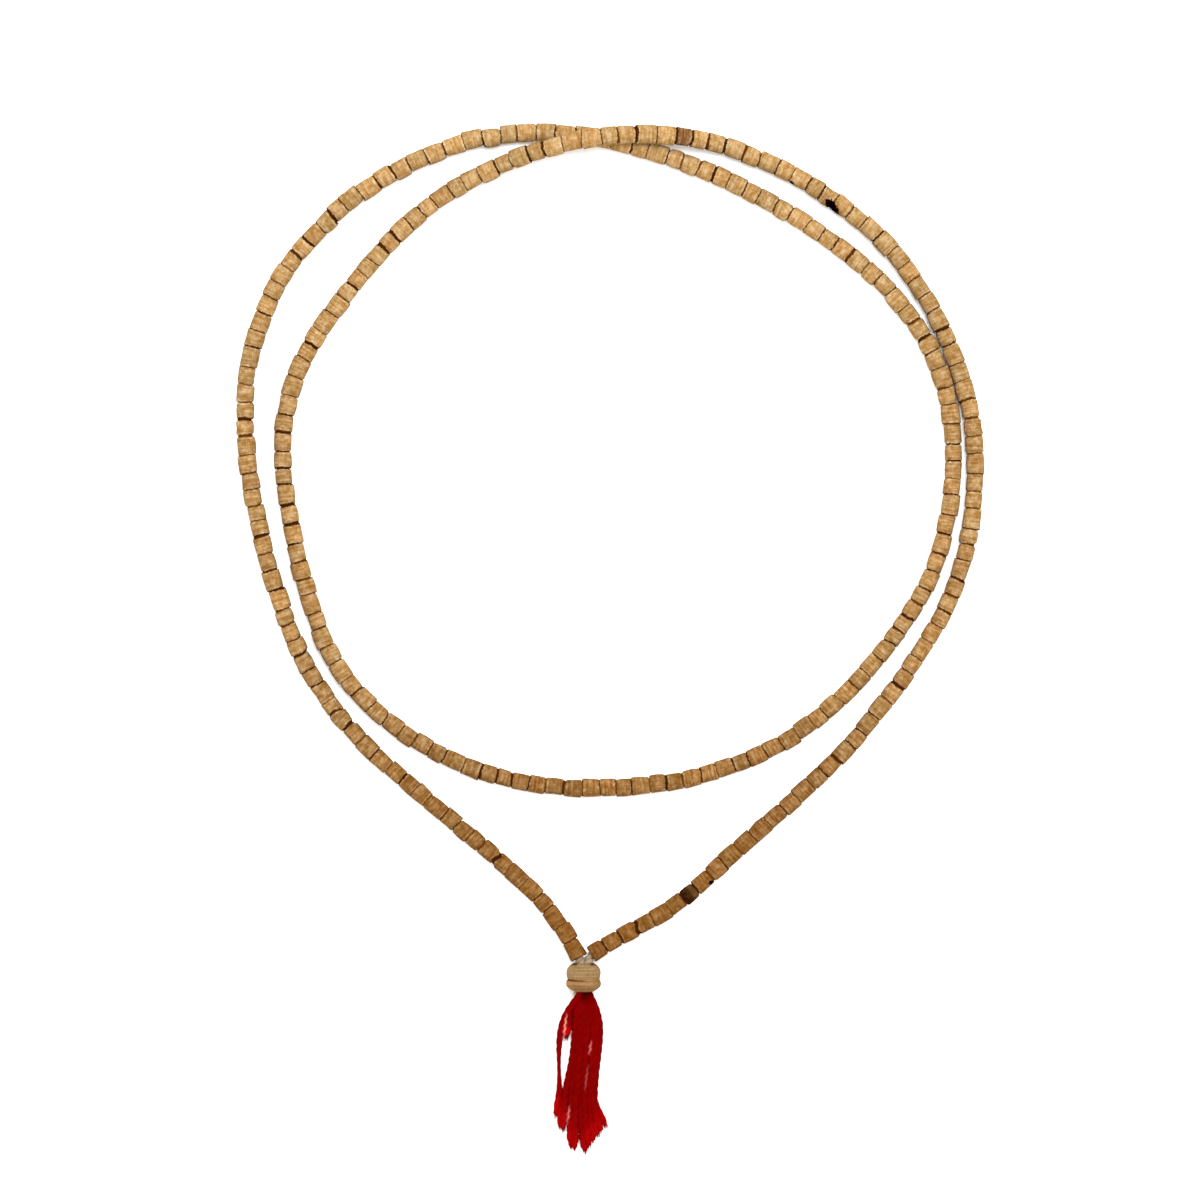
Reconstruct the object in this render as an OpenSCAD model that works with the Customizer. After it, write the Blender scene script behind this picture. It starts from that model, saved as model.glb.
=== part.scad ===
// A long string of turned wooden beads, laid flat as a loop of two rounds.
// Both ends of its thread meet in a guru bead, which carries a tassel of twisted yarn.
// Seen from above, +X is to the right and +Y points away from the tassel.
// It lies on the surface z = 0. All sizes are millimetres.

/* [Beads] */
// Number of beads on the string
bead_count = 246; // [240:2:246]
// Diameter of the beads nearest the tassel
bead_d_near = 4.8; // [4.6:0.1:4.9]
// Diameter of the beads farthest from the tassel
bead_d_far = 5.3; // [5:0.1:5.4]
// Largest share by which a bead's diameter strays from its neighbours'
bead_d_stray = 0.025; // [0:0.005:0.03]
// Largest share by which a bead's length strays from the mean
bead_length_stray = 0.16; // [0:0.02:0.2]
// Gap between two beads, along the thread
bead_gap = 0.36; // [0.34:0.02:0.5]
// Width of the turned edge at each end of a bead
bead_edge = 0.3; // [0.2:0.05:0.5]
// Diameter of the hole through a bead
bead_bore = 1.9; // [1.8:0.05:2]

/* [Crossing] */
// Height of the hump where the second round passes over the first
hump_rise = 5.8; // [5.7:0.1:6]
// Half the length of that hump
hump_reach = 46; // [44:1:50]

/* [Thread] */
// Diameter of the twisted cotton thread
thread_d = 1.5; // [1.2:0.1:1.5]
// Sides of the thread
thread_sides = 8; // [6:1:8]

/* [Guru bead] */
// Length of string over which the end beads climb to the guru bead's hole
guru_climb = 24; // [20:1:28]
// Diameter of the hole through the guru bead
guru_bore = 3.6; // [3.5:0.1:3.8]
// Depth of the sunk mouth at each end of that hole
guru_mouth = 0.8; // [0.8:0.1:1]

/* [Tassel] */
// Diameter of the tassel's head, just under the guru bead
head_d = 3.6; // [3.2:0.2:4]
// Diameter of the stem that the head sends up the guru bead's hole
stem_d = 3; // [2.6:0.1:3]
// Length of that stem inside the hole
stem_length = 2; // [1:0.5:3]
// Sides of each yarn
yarn_sides = 8; // [6:2:8]

/* [Hidden] */

wood = [0.76, 0.6, 0.4];
pale_wood = [0.8, 0.67, 0.48];
cotton = [0.95, 0.93, 0.9];
red_yarn = [0.62, 0.02, 0.02];

// Clearance between the guru bead and what is threaded through it
seat_gap = 0.3;

// The way of the string from the guru bead twice round and back to it
// Columns: x, y
ROUTE = [
  [-9, -92.5], [-15.5, -81.5], [-25.5, -70.5], [-47.5, -51.5], [-70, -32], [-88, -9], [-98, 18],
  [-104.5, 46], [-105.5, 76], [-96.5, 103], [-77, 125.5], [-52, 140.5], [-24, 146.5], [5, 143],
  [33, 133], [58, 119], [81.5, 100.5], [96.5, 75], [99, 46], [93, 18], [77, -6],
  [55.5, -27], [29, -39], [0, -43.5], [-29, -41], [-56, -30], [-78.5, -10], [-88.5, 17],
  [-94.5, 45], [-92.5, 74], [-77, 98.5], [-58, 121], [-33, 136.5], [-5, 144.5], [24, 145],
  [52, 134.5], [76, 118], [93.5, 95], [104, 67.5], [105, 38], [98, 10], [82, -15],
  [63.5, -37.5], [41, -57], [20.5, -76.5], [5, -85], [-5.5, -91.5]
];
route_last = len(ROUTE) - 1;
route_steps = 12;

// Where the second round passes over the first
crossing = [-4.5, 145];

// Outline of the guru bead, from its string end to its tassel end
// Columns: distance from the string end, radius
GURU_OUTLINE = [
  [0, 2.9], [0.3, 3.4], [0.7, 4], [1.2, 4.45], [1.8, 4.8], [2.7, 4.95], [3.6, 4.85],
  [4.2, 4.75], [4.5, 4.7], [4.8, 4.8], [5.3, 5], [6, 5.05], [6.6, 4.9], [7.1, 4.5],
  [7.5, 4], [7.9, 3.3], [8.2, 2.7]
];
guru_x = -7.8;
guru_top_y = -94.1;
guru_length = GURU_OUTLINE[len(GURU_OUTLINE) - 1][0];
guru_foot_y = guru_top_y - guru_length;
guru_z = max([for (row = GURU_OUTLINE) row[1]]);

// The two thread ends lie side by side in the guru bead's hole, straight from a little way in
thread_clearance = 0.1;
thread_sink = 1.1;
thread_offset = (thread_d + thread_clearance) / 2;
thread_in_y = guru_top_y - thread_sink;
thread_foot_y = guru_foot_y + stem_length + seat_gap;

// The yarns of the tassel, left to right
// Columns: x at the neck, shoulder, middle, low part and tip, y at the tip, width, width at the
// waist, resting height
YARNS = [
  [-1.6, -5.8, -7.4, -7, -8.2, -138.2, 1.8, 1, 1.2],
  [-1.4, -5.6, -7.2, -6.6, -7, -141.6, 1.8, 1, 1.3],
  [-1.3, -2.9, -3.9, -4.4, -5, -115.2, 2.3, 2.3, 2.2],
  [-1.1, -2.2, -2.8, -5.4, -5.9, -142.2, 2.5, 2.4, 1.5],
  [-0.8, -1, -2.2, -3.6, -3.6, -147.2, 2.5, 2.4, 2],
  [-0.4, -0.3, -1.4, -2.4, -2.6, -147.8, 2.4, 2.4, 2.5],
  [0, 0.4, -0.6, -0.9, 0.5, -148.8, 2.5, 2.4, 2.2],
  [0.5, 1.3, 0.4, 0.3, 1.6, -147, 2.4, 2.3, 2.6],
  [1, 2.5, 2.4, 1.6, 2.8, -145.6, 2.4, 2.2, 2.3],
  [1.4, 4.6, 3.9, 2.9, 3.9, -144, 2.4, 2.3, 2],
  [1.8, 3.6, 3.3, 2.3, 5.2, -142.8, 2.3, 2.2, 2.5],
  [2.1, 4.4, 3.6, 2.3, 6.6, -141.5, 2.2, 2, 1.5]
];
// Shares of a yarn's length at which its five x values stand
YARN_STATIONS = [0, 0.18, 0.45, 0.75, 1];
yarn_pieces = 7;
// Share of a yarn's length over which it falls from the neck to its resting height
yarn_fall = 0.35;
// Place of a yarn's waist and half the length that it spreads over
yarn_waist = 0.64;
yarn_waist_reach = 0.3;
// Share of its width that a yarn keeps at its tip
yarn_tip = 0.6;
head_y = guru_foot_y - seat_gap - head_d / 2;
neck_y = guru_foot_y - seat_gap - max([for (row = YARNS) row[6]]) / 2;

// Fraction of a number
function fraction(v) = v - floor(v);

// A fixed stray from -1 to 1 for each bead: the last digits of a large sine are as good as random
function stray(i, kind) = 2 * fraction(sin(i * 73.1 + kind * 137.9) * 4375.85) - 1;

// Half a wave that falls from 1 at u = 0 to 0 at u = 1
function half_wave(u) = u >= 1 ? 0 : (1 + cos(180 * u)) / 2;

// A point of a list, which runs on straight before its first and after its last
function point_of(list, i) =
  let (last = len(list) - 1)
  i < 0 ? list[0] + i * (list[1] - list[0])
  : i > last ? list[last] + (i - last) * (list[last] - list[last - 1])
  : list[i];

// The same point moved outwards, so that the smooth curve passes through the list's own points
function pulled_point(list, i) =
  point_of(list, i) - (point_of(list, i - 1) - 2 * point_of(list, i) + point_of(list, i + 1)) / 6;

// The smooth curve through a list at u, which is i at its point i (a cubic B-spline)
function smooth(list, u) =
  let (i = min(floor(u), len(list) - 2), t = u - i)
  (pow(1 - t, 3) * pulled_point(list, i - 1)
    + (3 * pow(t, 3) - 6 * t * t + 4) * pulled_point(list, i)
    + (-3 * pow(t, 3) + 3 * t * t + 3 * t + 1) * pulled_point(list, i + 1)
    + pow(t, 3) * pulled_point(list, i + 2)) / 6;

way = [for (k = [0 : route_steps * route_last]) smooth(ROUTE, k / route_steps)];
way_last = len(way) - 1;

// Distance along the way at each of its points
way_run = [
  for (i = 0, run = 0; i <= way_last; run = run + (i < way_last ? norm(way[i + 1] - way[i]) : 0), i = i + 1)
    run
];
way_length = way_run[way_last];
way_x = [for (i = [0 : way_last]) [way_run[i], way[i][0]]];
way_y = [for (i = [0 : way_last]) [way_run[i], way[i][1]]];
far_y = max([for (p = way) p[1]]);
near_y = min([for (p = way) p[1]]);

// Radius that the beads have at a place, from the thin ones to the thick ones
function bead_radius(y) =
  (bead_d_near + (bead_d_far - bead_d_near) * (y - near_y) / (far_y - near_y)) / 2;

// Lift of the thread above beads that lie flat
function guru_lift(run) = (guru_z - bead_d_near / 2) * half_wave(min(run, way_length - run) / guru_climb);
function hump_lift(p, run) = run < way_length / 2 ? 0 : hump_rise * half_wave(norm(p - crossing) / hump_reach);

// Place of the thread's centre at a distance along the way
function thread_point(run) =
  let (p = [lookup(run, way_x), lookup(run, way_y)])
  [p[0], p[1], bead_radius(p[1]) + guru_lift(run) + hump_lift(p, run)];

// Running sum of the bead lengths, then the joints between beads as places on the thread
bead_run = [
  for (i = 0, run = 0; i <= bead_count; run = run + 1 + bead_length_stray * stray(i, 1), i = i + 1)
    run
];
joints = [for (i = [0 : bead_count]) thread_point(bead_run[i] / bead_run[bead_count] * way_length)];

module bead(i) {
  along = joints[i + 1] - joints[i];
  middle = (joints[i + 1] + joints[i]) / 2;
  usual_r = bead_radius(middle[1]);
  r = usual_r * (1 + bead_d_stray * stray(i, 2));
  half_length = (norm(along) - bead_gap) / 2;
  translate(middle + [0, 0, r - usual_r])
    rotate([0, acos(along[2] / norm(along)), atan2(along[1], along[0])])
      rotate_extrude($fn = 48)
        polygon([
          [bead_bore / 2, -half_length],
          [r - bead_edge, -half_length],
          [r, -half_length + bead_edge],
          [r, half_length - bead_edge],
          [r - bead_edge, half_length],
          [bead_bore / 2, half_length]
        ]);
}

module beads_first_round() {
  color(wood)
    for (i = [0 : bead_count / 2 - 1])
      bead(i);
}

module beads_second_round() {
  color(wood)
    for (i = [bead_count / 2 : bead_count - 1])
      bead(i);
}

// The thread is a tube with a ring at each joint between beads and four in the guru bead
thread_way = [
  [guru_x - thread_offset, thread_foot_y, guru_z],
  [guru_x - thread_offset, thread_in_y, guru_z],
  for (p = joints) p,
  [guru_x + thread_offset, thread_in_y, guru_z],
  [guru_x + thread_offset, thread_foot_y, guru_z]
];

function unit(v) = v / norm(v);

function thread_ring(i) =
  let (
    last = len(thread_way) - 1,
    along = unit(thread_way[min(i + 1, last)] - thread_way[max(i - 1, 0)]),
    side = unit(cross(along, [0, 0, 1])),
    up = cross(side, along)
  )
  [
    for (k = [0 : thread_sides - 1])
      thread_way[i] + thread_d / 2 * (cos(360 * k / thread_sides) * side + sin(360 * k / thread_sides) * up)
  ];

module thread() {
  rings = len(thread_way);
  n = thread_sides;
  points = [for (i = [0 : rings - 1]) each thread_ring(i)];
  walls = [
    for (i = [0 : rings - 2])
      for (k = [0 : n - 1])
        let (a = i * n + k, b = i * n + (k + 1) % n)
          each [[a, b, a + n], [b, b + n, a + n]]
  ];
  start_cap = [for (k = [n - 1 : -1 : 0]) k];
  end_cap = [for (k = [0 : n - 1]) (rings - 1) * n + k];
  color(cotton)
    polyhedron(points, [each walls, start_cap, end_cap]);
}

module guru_bead() {
  outline = [for (row = GURU_OUTLINE) [row[1], row[0]]];
  color(pale_wood)
    translate([guru_x, guru_top_y, guru_z])
      rotate([90, 0, 0])
        rotate_extrude($fn = 96)
          polygon([
            [guru_bore / 2 + guru_mouth, 0],
            each outline,
            [guru_bore / 2 + guru_mouth / 2, guru_length],
            [guru_bore / 2, guru_length - guru_mouth],
            [guru_bore / 2, guru_mouth]
          ]);
}

// The points that a yarn's centre passes, from the neck to the tip
function yarn_way(row) = [
  for (i = [0 : len(YARN_STATIONS) - 1])
    let (share = YARN_STATIONS[i])
    [
      guru_x + row[i],
      neck_y + share * (row[5] - neck_y),
      row[8] + (guru_z - row[8]) * half_wave(share / yarn_fall)
    ]
];

function yarn_width(row, t) =
  (row[6] + (row[7] - row[6]) * half_wave(abs(t - yarn_waist) / yarn_waist_reach))
  * (1 - (1 - yarn_tip) * max(0, t * 4 - 3));

module yarn(row) {
  way = yarn_way(row);
  last = len(way) - 1;
  for (k = [0 : yarn_pieces - 1])
    hull()
      for (t = [k / yarn_pieces, (k + 1) / yarn_pieces])
        translate(smooth(way, t * last))
          sphere(d = yarn_width(row, t), $fn = yarn_sides);
}

module tassel() {
  color(red_yarn) {
    translate([guru_x, head_y, guru_z])
      sphere(d = head_d, $fn = 16);
    translate([guru_x, head_y, guru_z])
      rotate([-90, 0, 0])
        cylinder(d = stem_d, h = guru_foot_y + stem_length - head_y, $fn = 16);
    for (row = YARNS)
      yarn(row);
  }
}

beads_first_round();
beads_second_round();
thread();
guru_bead();
tassel();
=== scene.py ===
"""A mala laid flat in two rounds: turned wooden beads on a cotton thread, a guru bead and a red tassel.

The classes work in millimetres, and Shape.to_object takes the result to metres.
"""

import logging
import math
from dataclasses import dataclass, field
from enum import Enum
from functools import cache, cached_property

import bpy
import numpy as np
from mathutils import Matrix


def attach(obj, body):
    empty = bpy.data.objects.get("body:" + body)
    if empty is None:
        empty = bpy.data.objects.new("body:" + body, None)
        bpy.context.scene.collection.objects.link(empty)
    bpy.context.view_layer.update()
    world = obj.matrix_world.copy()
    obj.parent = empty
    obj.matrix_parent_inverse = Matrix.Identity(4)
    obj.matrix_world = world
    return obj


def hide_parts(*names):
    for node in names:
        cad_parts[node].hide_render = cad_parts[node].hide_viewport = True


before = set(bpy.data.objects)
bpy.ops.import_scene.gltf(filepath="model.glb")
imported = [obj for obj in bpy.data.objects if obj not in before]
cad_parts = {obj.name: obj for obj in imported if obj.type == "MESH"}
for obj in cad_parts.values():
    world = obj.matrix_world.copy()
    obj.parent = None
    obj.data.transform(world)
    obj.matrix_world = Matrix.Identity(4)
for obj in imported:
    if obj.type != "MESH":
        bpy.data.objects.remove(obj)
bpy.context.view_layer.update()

BODY = "root"
MM = 0.001
FULL_TURN = 2 * math.pi
# A range or pair of numbers, a linear colour with alpha, and a dark and a light tint
Span = tuple[float, float]
Colour = tuple[float, float, float, float]
Tints = tuple[tuple[float, float, float], tuple[float, float, float]]
# A node's input or output, and the wood's masks by name
Socket = bpy.types.NodeSocket
Masks = dict[str, Socket]
UP = np.array([0.0, 0.0, 1.0])
# Place given to points that have no knot near them
FAR = 9.0

# Places that the string passes through, from the guru bead and back to it
ROUTE = np.array([
    [-9, -92.5], [-15.5, -81.5], [-25.5, -70.5], [-47.5, -51.5], [-70, -32], [-88, -9],
    [-98, 18], [-104.5, 46], [-105.5, 76], [-96.5, 103], [-77, 125.5], [-52, 140.5],
    [-24, 146.5], [5, 143], [33, 133], [58, 119], [81.5, 100.5], [96.5, 75],
    [99, 46], [93, 18], [77, -6], [55.5, -27], [29, -39], [0, -43.5],
    [-29, -41], [-56, -30], [-78.5, -10], [-88.5, 17], [-94.5, 45], [-92.5, 74],
    [-77, 98.5], [-58, 121], [-33, 136.5], [-5, 144.5], [24, 145], [52, 134.5],
    [76, 118], [93.5, 95], [104, 67.5], [105, 38], [98, 10], [82, -15],
    [63.5, -37.5], [41, -57], [20.5, -76.5], [5, -85], [-5.5, -91.5],
], dtype=float)

# Outline of the guru bead: distance from its string end, radius
GURU_OUTLINE = np.array([
    [0, 2.9], [0.3, 3.4], [0.7, 4], [1.2, 4.45], [1.8, 4.8], [2.7, 4.95],
    [3.6, 4.85], [4.2, 4.75], [4.5, 4.7], [4.8, 4.8], [5.3, 5], [6, 5.05],
    [6.6, 4.9], [7.1, 4.5], [7.5, 4], [7.9, 3.3], [8.2, 2.7],
])

# The yarns, left to right: x at neck, shoulder, middle, low part and tip, y at the tip,
# width, width at the waist, resting height
YARNS = np.array([
    [-1.6, -5.8, -7.4, -7, -8.2, -138.2, 1.8, 1, 1.2],
    [-1.4, -5.6, -7.2, -6.6, -7, -141.6, 1.8, 1, 1.3],
    [-1.3, -2.9, -3.9, -4.4, -5, -115.2, 2.3, 2.3, 2.2],
    [-1.1, -2.2, -2.8, -5.4, -5.9, -142.2, 2.5, 2.4, 1.5],
    [-0.8, -1, -2.2, -3.6, -3.6, -147.2, 2.5, 2.4, 2],
    [-0.4, -0.3, -1.4, -2.4, -2.6, -147.8, 2.4, 2.4, 2.5],
    [0, 0.4, -0.6, -0.9, 0.5, -148.8, 2.5, 2.4, 2.2],
    [0.5, 1.3, 0.4, 0.3, 1.6, -147, 2.4, 2.3, 2.6],
    [1, 2.5, 2.4, 1.6, 2.8, -145.6, 2.4, 2.2, 2.3],
    [1.4, 4.6, 3.9, 2.9, 3.9, -144, 2.4, 2.3, 2],
    [1.8, 3.6, 3.3, 2.3, 5.2, -142.8, 2.3, 2.2, 2.5],
    [2.1, 4.4, 3.6, 2.3, 6.6, -141.5, 2.2, 2, 1.5],
])
# Shares of the way down a yarn at those five places
YARN_STATIONS = np.array([0, 0.18, 0.45, 0.75, 1])
YARN_X, YARN_MIDDLE_X = YARNS[:, :5], YARNS[:, 2]
YARN_TIP_Y, YARN_WIDTH, YARN_WAIST, YARN_HEIGHT = YARNS[:, 5:].T


def unit(vectors: np.ndarray) -> np.ndarray:
    """Scales vectors to length one.

    Args:
        vectors: Array whose last axis holds x, y and z.

    Returns:
        The array of unit vectors.
    """
    return vectors / np.linalg.norm(vectors, axis=-1, keepdims=True)


def dot(a: np.ndarray, b: np.ndarray) -> np.ndarray:
    """Dot product of vectors along the last axis."""
    return np.sum(a * b, axis=-1)


def cross_axes(along: np.ndarray, reference: np.ndarray) -> tuple[np.ndarray, np.ndarray]:
    """Finds the two axes of a cross-section: side = reference x along, up = along x side.

    Args:
        along: Unit directions of the path.
        reference: Direction that the up axis stays close to.

    Returns:
        The side and up axes.
    """
    side = unit(np.cross(reference, along))
    return side, np.cross(along, side)


def tangents(path: np.ndarray) -> np.ndarray:
    """Unit directions of paths whose points run along the last axis but one."""
    return unit(np.gradient(path, axis=-2))


def half_wave(u: np.ndarray) -> np.ndarray:
    """Half a cosine wave that falls from 1 at u = 0 to 0 at u = 1 and stays there."""
    return (1 + np.cos(math.pi * np.clip(u, 0, 1))) / 2


def even_angles(sides: int) -> np.ndarray:
    """Even angles round a section."""
    return np.arange(sides) * FULL_TURN / sides


def strand_place(run: np.ndarray, radii: np.ndarray) -> np.ndarray:
    """Finds where each point lies along its strand and across it.

    Args:
        run: Distance along each strand.
        radii: Radius as strand, place and angle.

    Returns:
        Place along and across, as strand, place, angle and xyz.
    """
    angle = even_angles(radii.shape[2])
    place = [run[..., None] * np.ones(radii.shape), radii * np.cos(angle), radii * np.sin(angle)]
    return np.stack(place, axis=-1)


def stray(index: np.ndarray, kind: int) -> np.ndarray:
    """Fixed stray from -1 to 1 for each bead: twice the fraction of a large sine, less one.

    Args:
        index: Numbers of the beads.
        kind: 1 for the bead's length, 2 for its width.

    Returns:
        One stray for each bead, the same as in the part's source.
    """
    value = np.sin(np.radians(index * 73.1 + kind * 137.9)) * 4375.85
    return 2 * (value - np.floor(value)) - 1


def smooth_line(points: np.ndarray, places: np.ndarray) -> np.ndarray:
    """Carries a smooth curve through a row of points.

    It is a cubic B-spline whose control points are P - (before - 2 P + after) / 6, so that it passes
    through the points themselves. The row runs on straight beyond both ends.

    Args:
        points: Row of points.
        places: Places along it, where i is the point i.

    Returns:
        One point for each place.
    """
    first, last = points[0], points[-1]
    step_in, step_out = points[1] - first, last - points[-2]
    line = np.vstack([first - 2 * step_in, first - step_in, points, last + step_out, last + 2 * step_out])
    pulled = line[1:-1] - (line[:-2] - 2 * line[1:-1] + line[2:]) / 6
    i = np.minimum(np.floor(places), len(points) - 2).astype(int)
    t = (places - i)[:, None]
    weights = ((1 - t) ** 3, 3 * t**3 - 6 * t**2 + 4, -3 * t**3 + 3 * t**2 + 3 * t + 1, t**3)
    return sum(weight * pulled[i + k] for k, weight in enumerate(weights)) / 6


def grid_quads(copies: int, rows: int, columns: int, closed_rows: bool) -> np.ndarray:
    """Quads of grids of points whose columns always close, counted copy by copy and row by row.

    Args:
        copies: Number of grids.
        rows: Rows of a grid.
        columns: Points in a row.
        closed_rows: Whether the last row joins the first.

    Returns:
        Point numbers of the quads, which face outwards when the columns turn to the right of the rows.
    """
    copy = np.arange(copies)[:, None, None] * rows * columns
    row = np.arange(rows if closed_rows else rows - 1)[None, :, None]
    column = np.arange(columns)[None, None, :]
    here, there = copy + row * columns, copy + (row + 1) % rows * columns
    right = (column + 1) % columns
    return np.stack([here + column, here + right, there + right, there + column], axis=-1).reshape(-1, 4)


@dataclass
class Shape:
    """Points, faces and point marks of a piece, in millimetres."""

    points: np.ndarray
    faces: list[np.ndarray]
    marks: dict[str, np.ndarray] = field(default_factory=dict)

    def joined(self, other: "Shape") -> "Shape":
        """Puts another shape with the same marks beside this one.

        Args:
            other: The other shape.

        Returns:
            Both as one shape.
        """
        shifted = [face + len(self.points) for face in other.faces]
        marks = {name: np.concatenate([self.marks[name], other.marks[name]]) for name in self.marks}
        return Shape(np.vstack([self.points, other.points]), self.faces + shifted, marks)

    def to_object(self, name: str, material: bpy.types.Material) -> bpy.types.Object:
        """Makes a smooth mesh object at the origin, with its place in its mesh.

        Args:
            name: Name of the object.
            material: Its finish.

        Returns:
            The linked object.
        """
        mesh = bpy.data.meshes.new(name)
        mesh.vertices.add(len(self.points))
        mesh.vertices.foreach_set("co", (self.points * MM).astype(np.float32).ravel())
        corners = np.concatenate([face.ravel() for face in self.faces]).astype(np.int32)
        sizes = np.concatenate([np.full(len(face), face.shape[1]) for face in self.faces])
        mesh.loops.add(len(corners))
        mesh.loops.foreach_set("vertex_index", corners)
        mesh.polygons.add(len(sizes))
        mesh.polygons.foreach_set("loop_start", (np.cumsum(sizes) - sizes).astype(np.int32))
        mesh.polygons.foreach_set("use_smooth", np.ones(len(sizes), dtype=bool))
        mesh.update(calc_edges=True)
        for mark, values in self.marks.items():
            vector = values.ndim == 2
            layer = mesh.attributes.new(mark, "FLOAT_VECTOR" if vector else "FLOAT", "POINT")
            layer.data.foreach_set("vector" if vector else "value", values.astype(np.float32).ravel())
        mesh.materials.append(material)
        piece = bpy.data.objects.new(name, mesh)
        bpy.context.collection.objects.link(piece)
        return piece


def tubes(
    paths: np.ndarray, radii: np.ndarray, reference: np.ndarray, marks: dict[str, np.ndarray]
) -> Shape:
    """Sweeps round sections along several paths and closes their ends.

    A point is path + radius * (cos angle * side + sin angle * up), and a fan of triangles to the
    path's own end point closes each end.

    Args:
        paths: Points of the paths, as path, place and xyz.
        radii: Radius at each place and angle, as path, place and angle.
        reference: Direction that stays near the section's up axis.
        marks: Values at each place and angle, as path, place, angle and perhaps xyz.

    Returns:
        The tubes as one shape.
    """
    copies, rows, columns = radii.shape
    side, up = cross_axes(tangents(paths), reference)
    angle = even_angles(columns)
    outwards = np.cos(angle)[:, None] * side[:, :, None] + np.sin(angle)[:, None] * up[:, :, None]
    rings = (paths[:, :, None] + radii[..., None] * outwards).reshape(-1, 3)
    quads = grid_quads(copies, rows, columns, closed_rows=False)
    column = np.arange(columns)
    right = (column + 1) % columns
    base = np.arange(copies)[:, None] * rows * columns
    last = base + (rows - 1) * columns
    start = len(rings) + np.arange(copies)[:, None] + 0 * column
    caps = [
        np.stack([base + right, base + column, start], axis=-1),
        np.stack([last + column, last + right, start + copies], axis=-1),
    ]
    triangles = np.concatenate([cap.reshape(-1, 3) for cap in caps])
    flat = {}
    for name, values in marks.items():
        tail = values.shape[3:]
        ends = [values.reshape(-1, *tail), values[:, 0].mean(axis=1), values[:, -1].mean(axis=1)]
        flat[name] = np.concatenate(ends)
    return Shape(np.vstack([rings, paths[:, 0], paths[:, -1]]), [quads, triangles], flat)


@dataclass(frozen=True)
class Twist:
    """How plies are wound: sides of a ply, and number and depth of the fine grooves round it."""

    sides: int
    grooves: int
    groove_depth: float

    def wound(
        self, lines: np.ndarray, phase: np.ndarray, turns: np.ndarray, orbit: np.ndarray, radius: np.ndarray
    ) -> tuple[np.ndarray, np.ndarray]:
        """Winds plies round lines.

        A ply's own line is centre + orbit * (cos turn * side + sin turn * up), and its radius is
        radius * (1 - depth * (1 + cos(grooves * (angle + turns))) / 2).

        Args:
            lines: Points of the lines that they wind round.
            phase: Turn of each ply at its start.
            turns: How far the twist has turned at each point.
            orbit: Distance of a ply's middle from the line.
            radius: Radius of a ply.

        Returns:
            Points of the plies' own lines, and their radii at each place and angle.
        """
        side, up = cross_axes(tangents(lines), UP)
        turn = (phase + turns)[..., None]
        centres = lines + orbit[..., None] * (np.cos(turn) * side + np.sin(turn) * up)
        angle = even_angles(self.sides)
        wind = self.grooves * (angle + turns[..., None])
        radii = radius[..., None] * (1 - self.groove_depth * (1 + np.cos(wind)) / 2)
        return centres, np.broadcast_to(radii, (*centres.shape[:2], self.sides))


@dataclass(frozen=True)
class StringLayout:
    """Where the thread runs and where each bead sits on it, as the part's source lays them."""

    bead_count: int = 246
    # Bead widths at the tassel's end and at the other, and the strays of width and length, as shares
    near_width: float = 4.8
    far_width: float = 5.3
    width_stray: float = 0.025
    length_stray: float = 0.16
    # Where the second round passes over the first: its rise there, how far out it starts, and where
    hump_rise: float = 5.8
    hump_reach: float = 46.0
    crossing: Span = (-4.5, 145.0)
    # The guru bead's place, how far out the string climbs to it, and how far aside its two ends lie
    guru_x: float = -7.8
    guru_top_y: float = -94.1
    guru_foot_y: float = -102.3
    guru_height: float = 5.05
    guru_climb: float = 24.0
    arm_offset: float = 0.8
    # Points of the way to each stretch of the route
    steps: int = 12

    @cached_property
    def way(self) -> np.ndarray:
        """Points of the string's centre line as seen from above."""
        return smooth_line(ROUTE, np.arange((len(ROUTE) - 1) * self.steps + 1) / self.steps)

    @cached_property
    def way_run(self) -> np.ndarray:
        """Distance along the way at each of its points."""
        return np.concatenate([[0], np.cumsum(np.linalg.norm(np.diff(self.way, axis=0), axis=1))])

    def bead_radius(self, y: np.ndarray) -> np.ndarray:
        """Usual radius of a bead, which grows evenly with its distance from the tassel."""
        low, high = self.way[:, 1].min(), self.way[:, 1].max()
        return (self.near_width + (self.far_width - self.near_width) * (y - low) / (high - low)) / 2

    def thread_points(self, run: np.ndarray) -> np.ndarray:
        """Places of the thread's centre.

        Its height is the bead's radius, with a half-wave rise at the guru bead and another where the
        second round passes over the first.

        Args:
            run: Distances along the way.

        Returns:
            One point for each distance.
        """
        length = self.way_run[-1]
        flat = np.stack([np.interp(run, self.way_run, self.way[:, k]) for k in (0, 1)], axis=-1)
        from_guru = np.minimum(run, length - run)
        lift = (self.guru_height - self.near_width / 2) * half_wave(from_guru / self.guru_climb)
        reach = np.linalg.norm(flat - np.array(self.crossing), axis=-1)
        hump = np.where(run < length / 2, 0, self.hump_rise * half_wave(reach / self.hump_reach))
        return np.column_stack([flat, self.bead_radius(flat[:, 1]) + lift + hump])

    @cached_property
    def joints(self) -> np.ndarray:
        """Joints between the beads: running sums of the bead lengths, as places on the thread.

        Returns:
            One point for each joint.
        """
        shares = 1 + self.length_stray * stray(np.arange(self.bead_count), 1)
        run = np.concatenate([[0], np.cumsum(shares)]) / np.sum(shares)
        return self.thread_points(run * self.way_run[-1])

    def nearest_bead(self, x: float, y: float) -> int:
        """Number of the bead whose middle is nearest to a place as seen from above."""
        middles = (self.joints[1:, :2] + self.joints[:-1, :2]) / 2
        return int(np.linalg.norm(middles - np.array([x, y]), axis=1).argmin())


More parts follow.
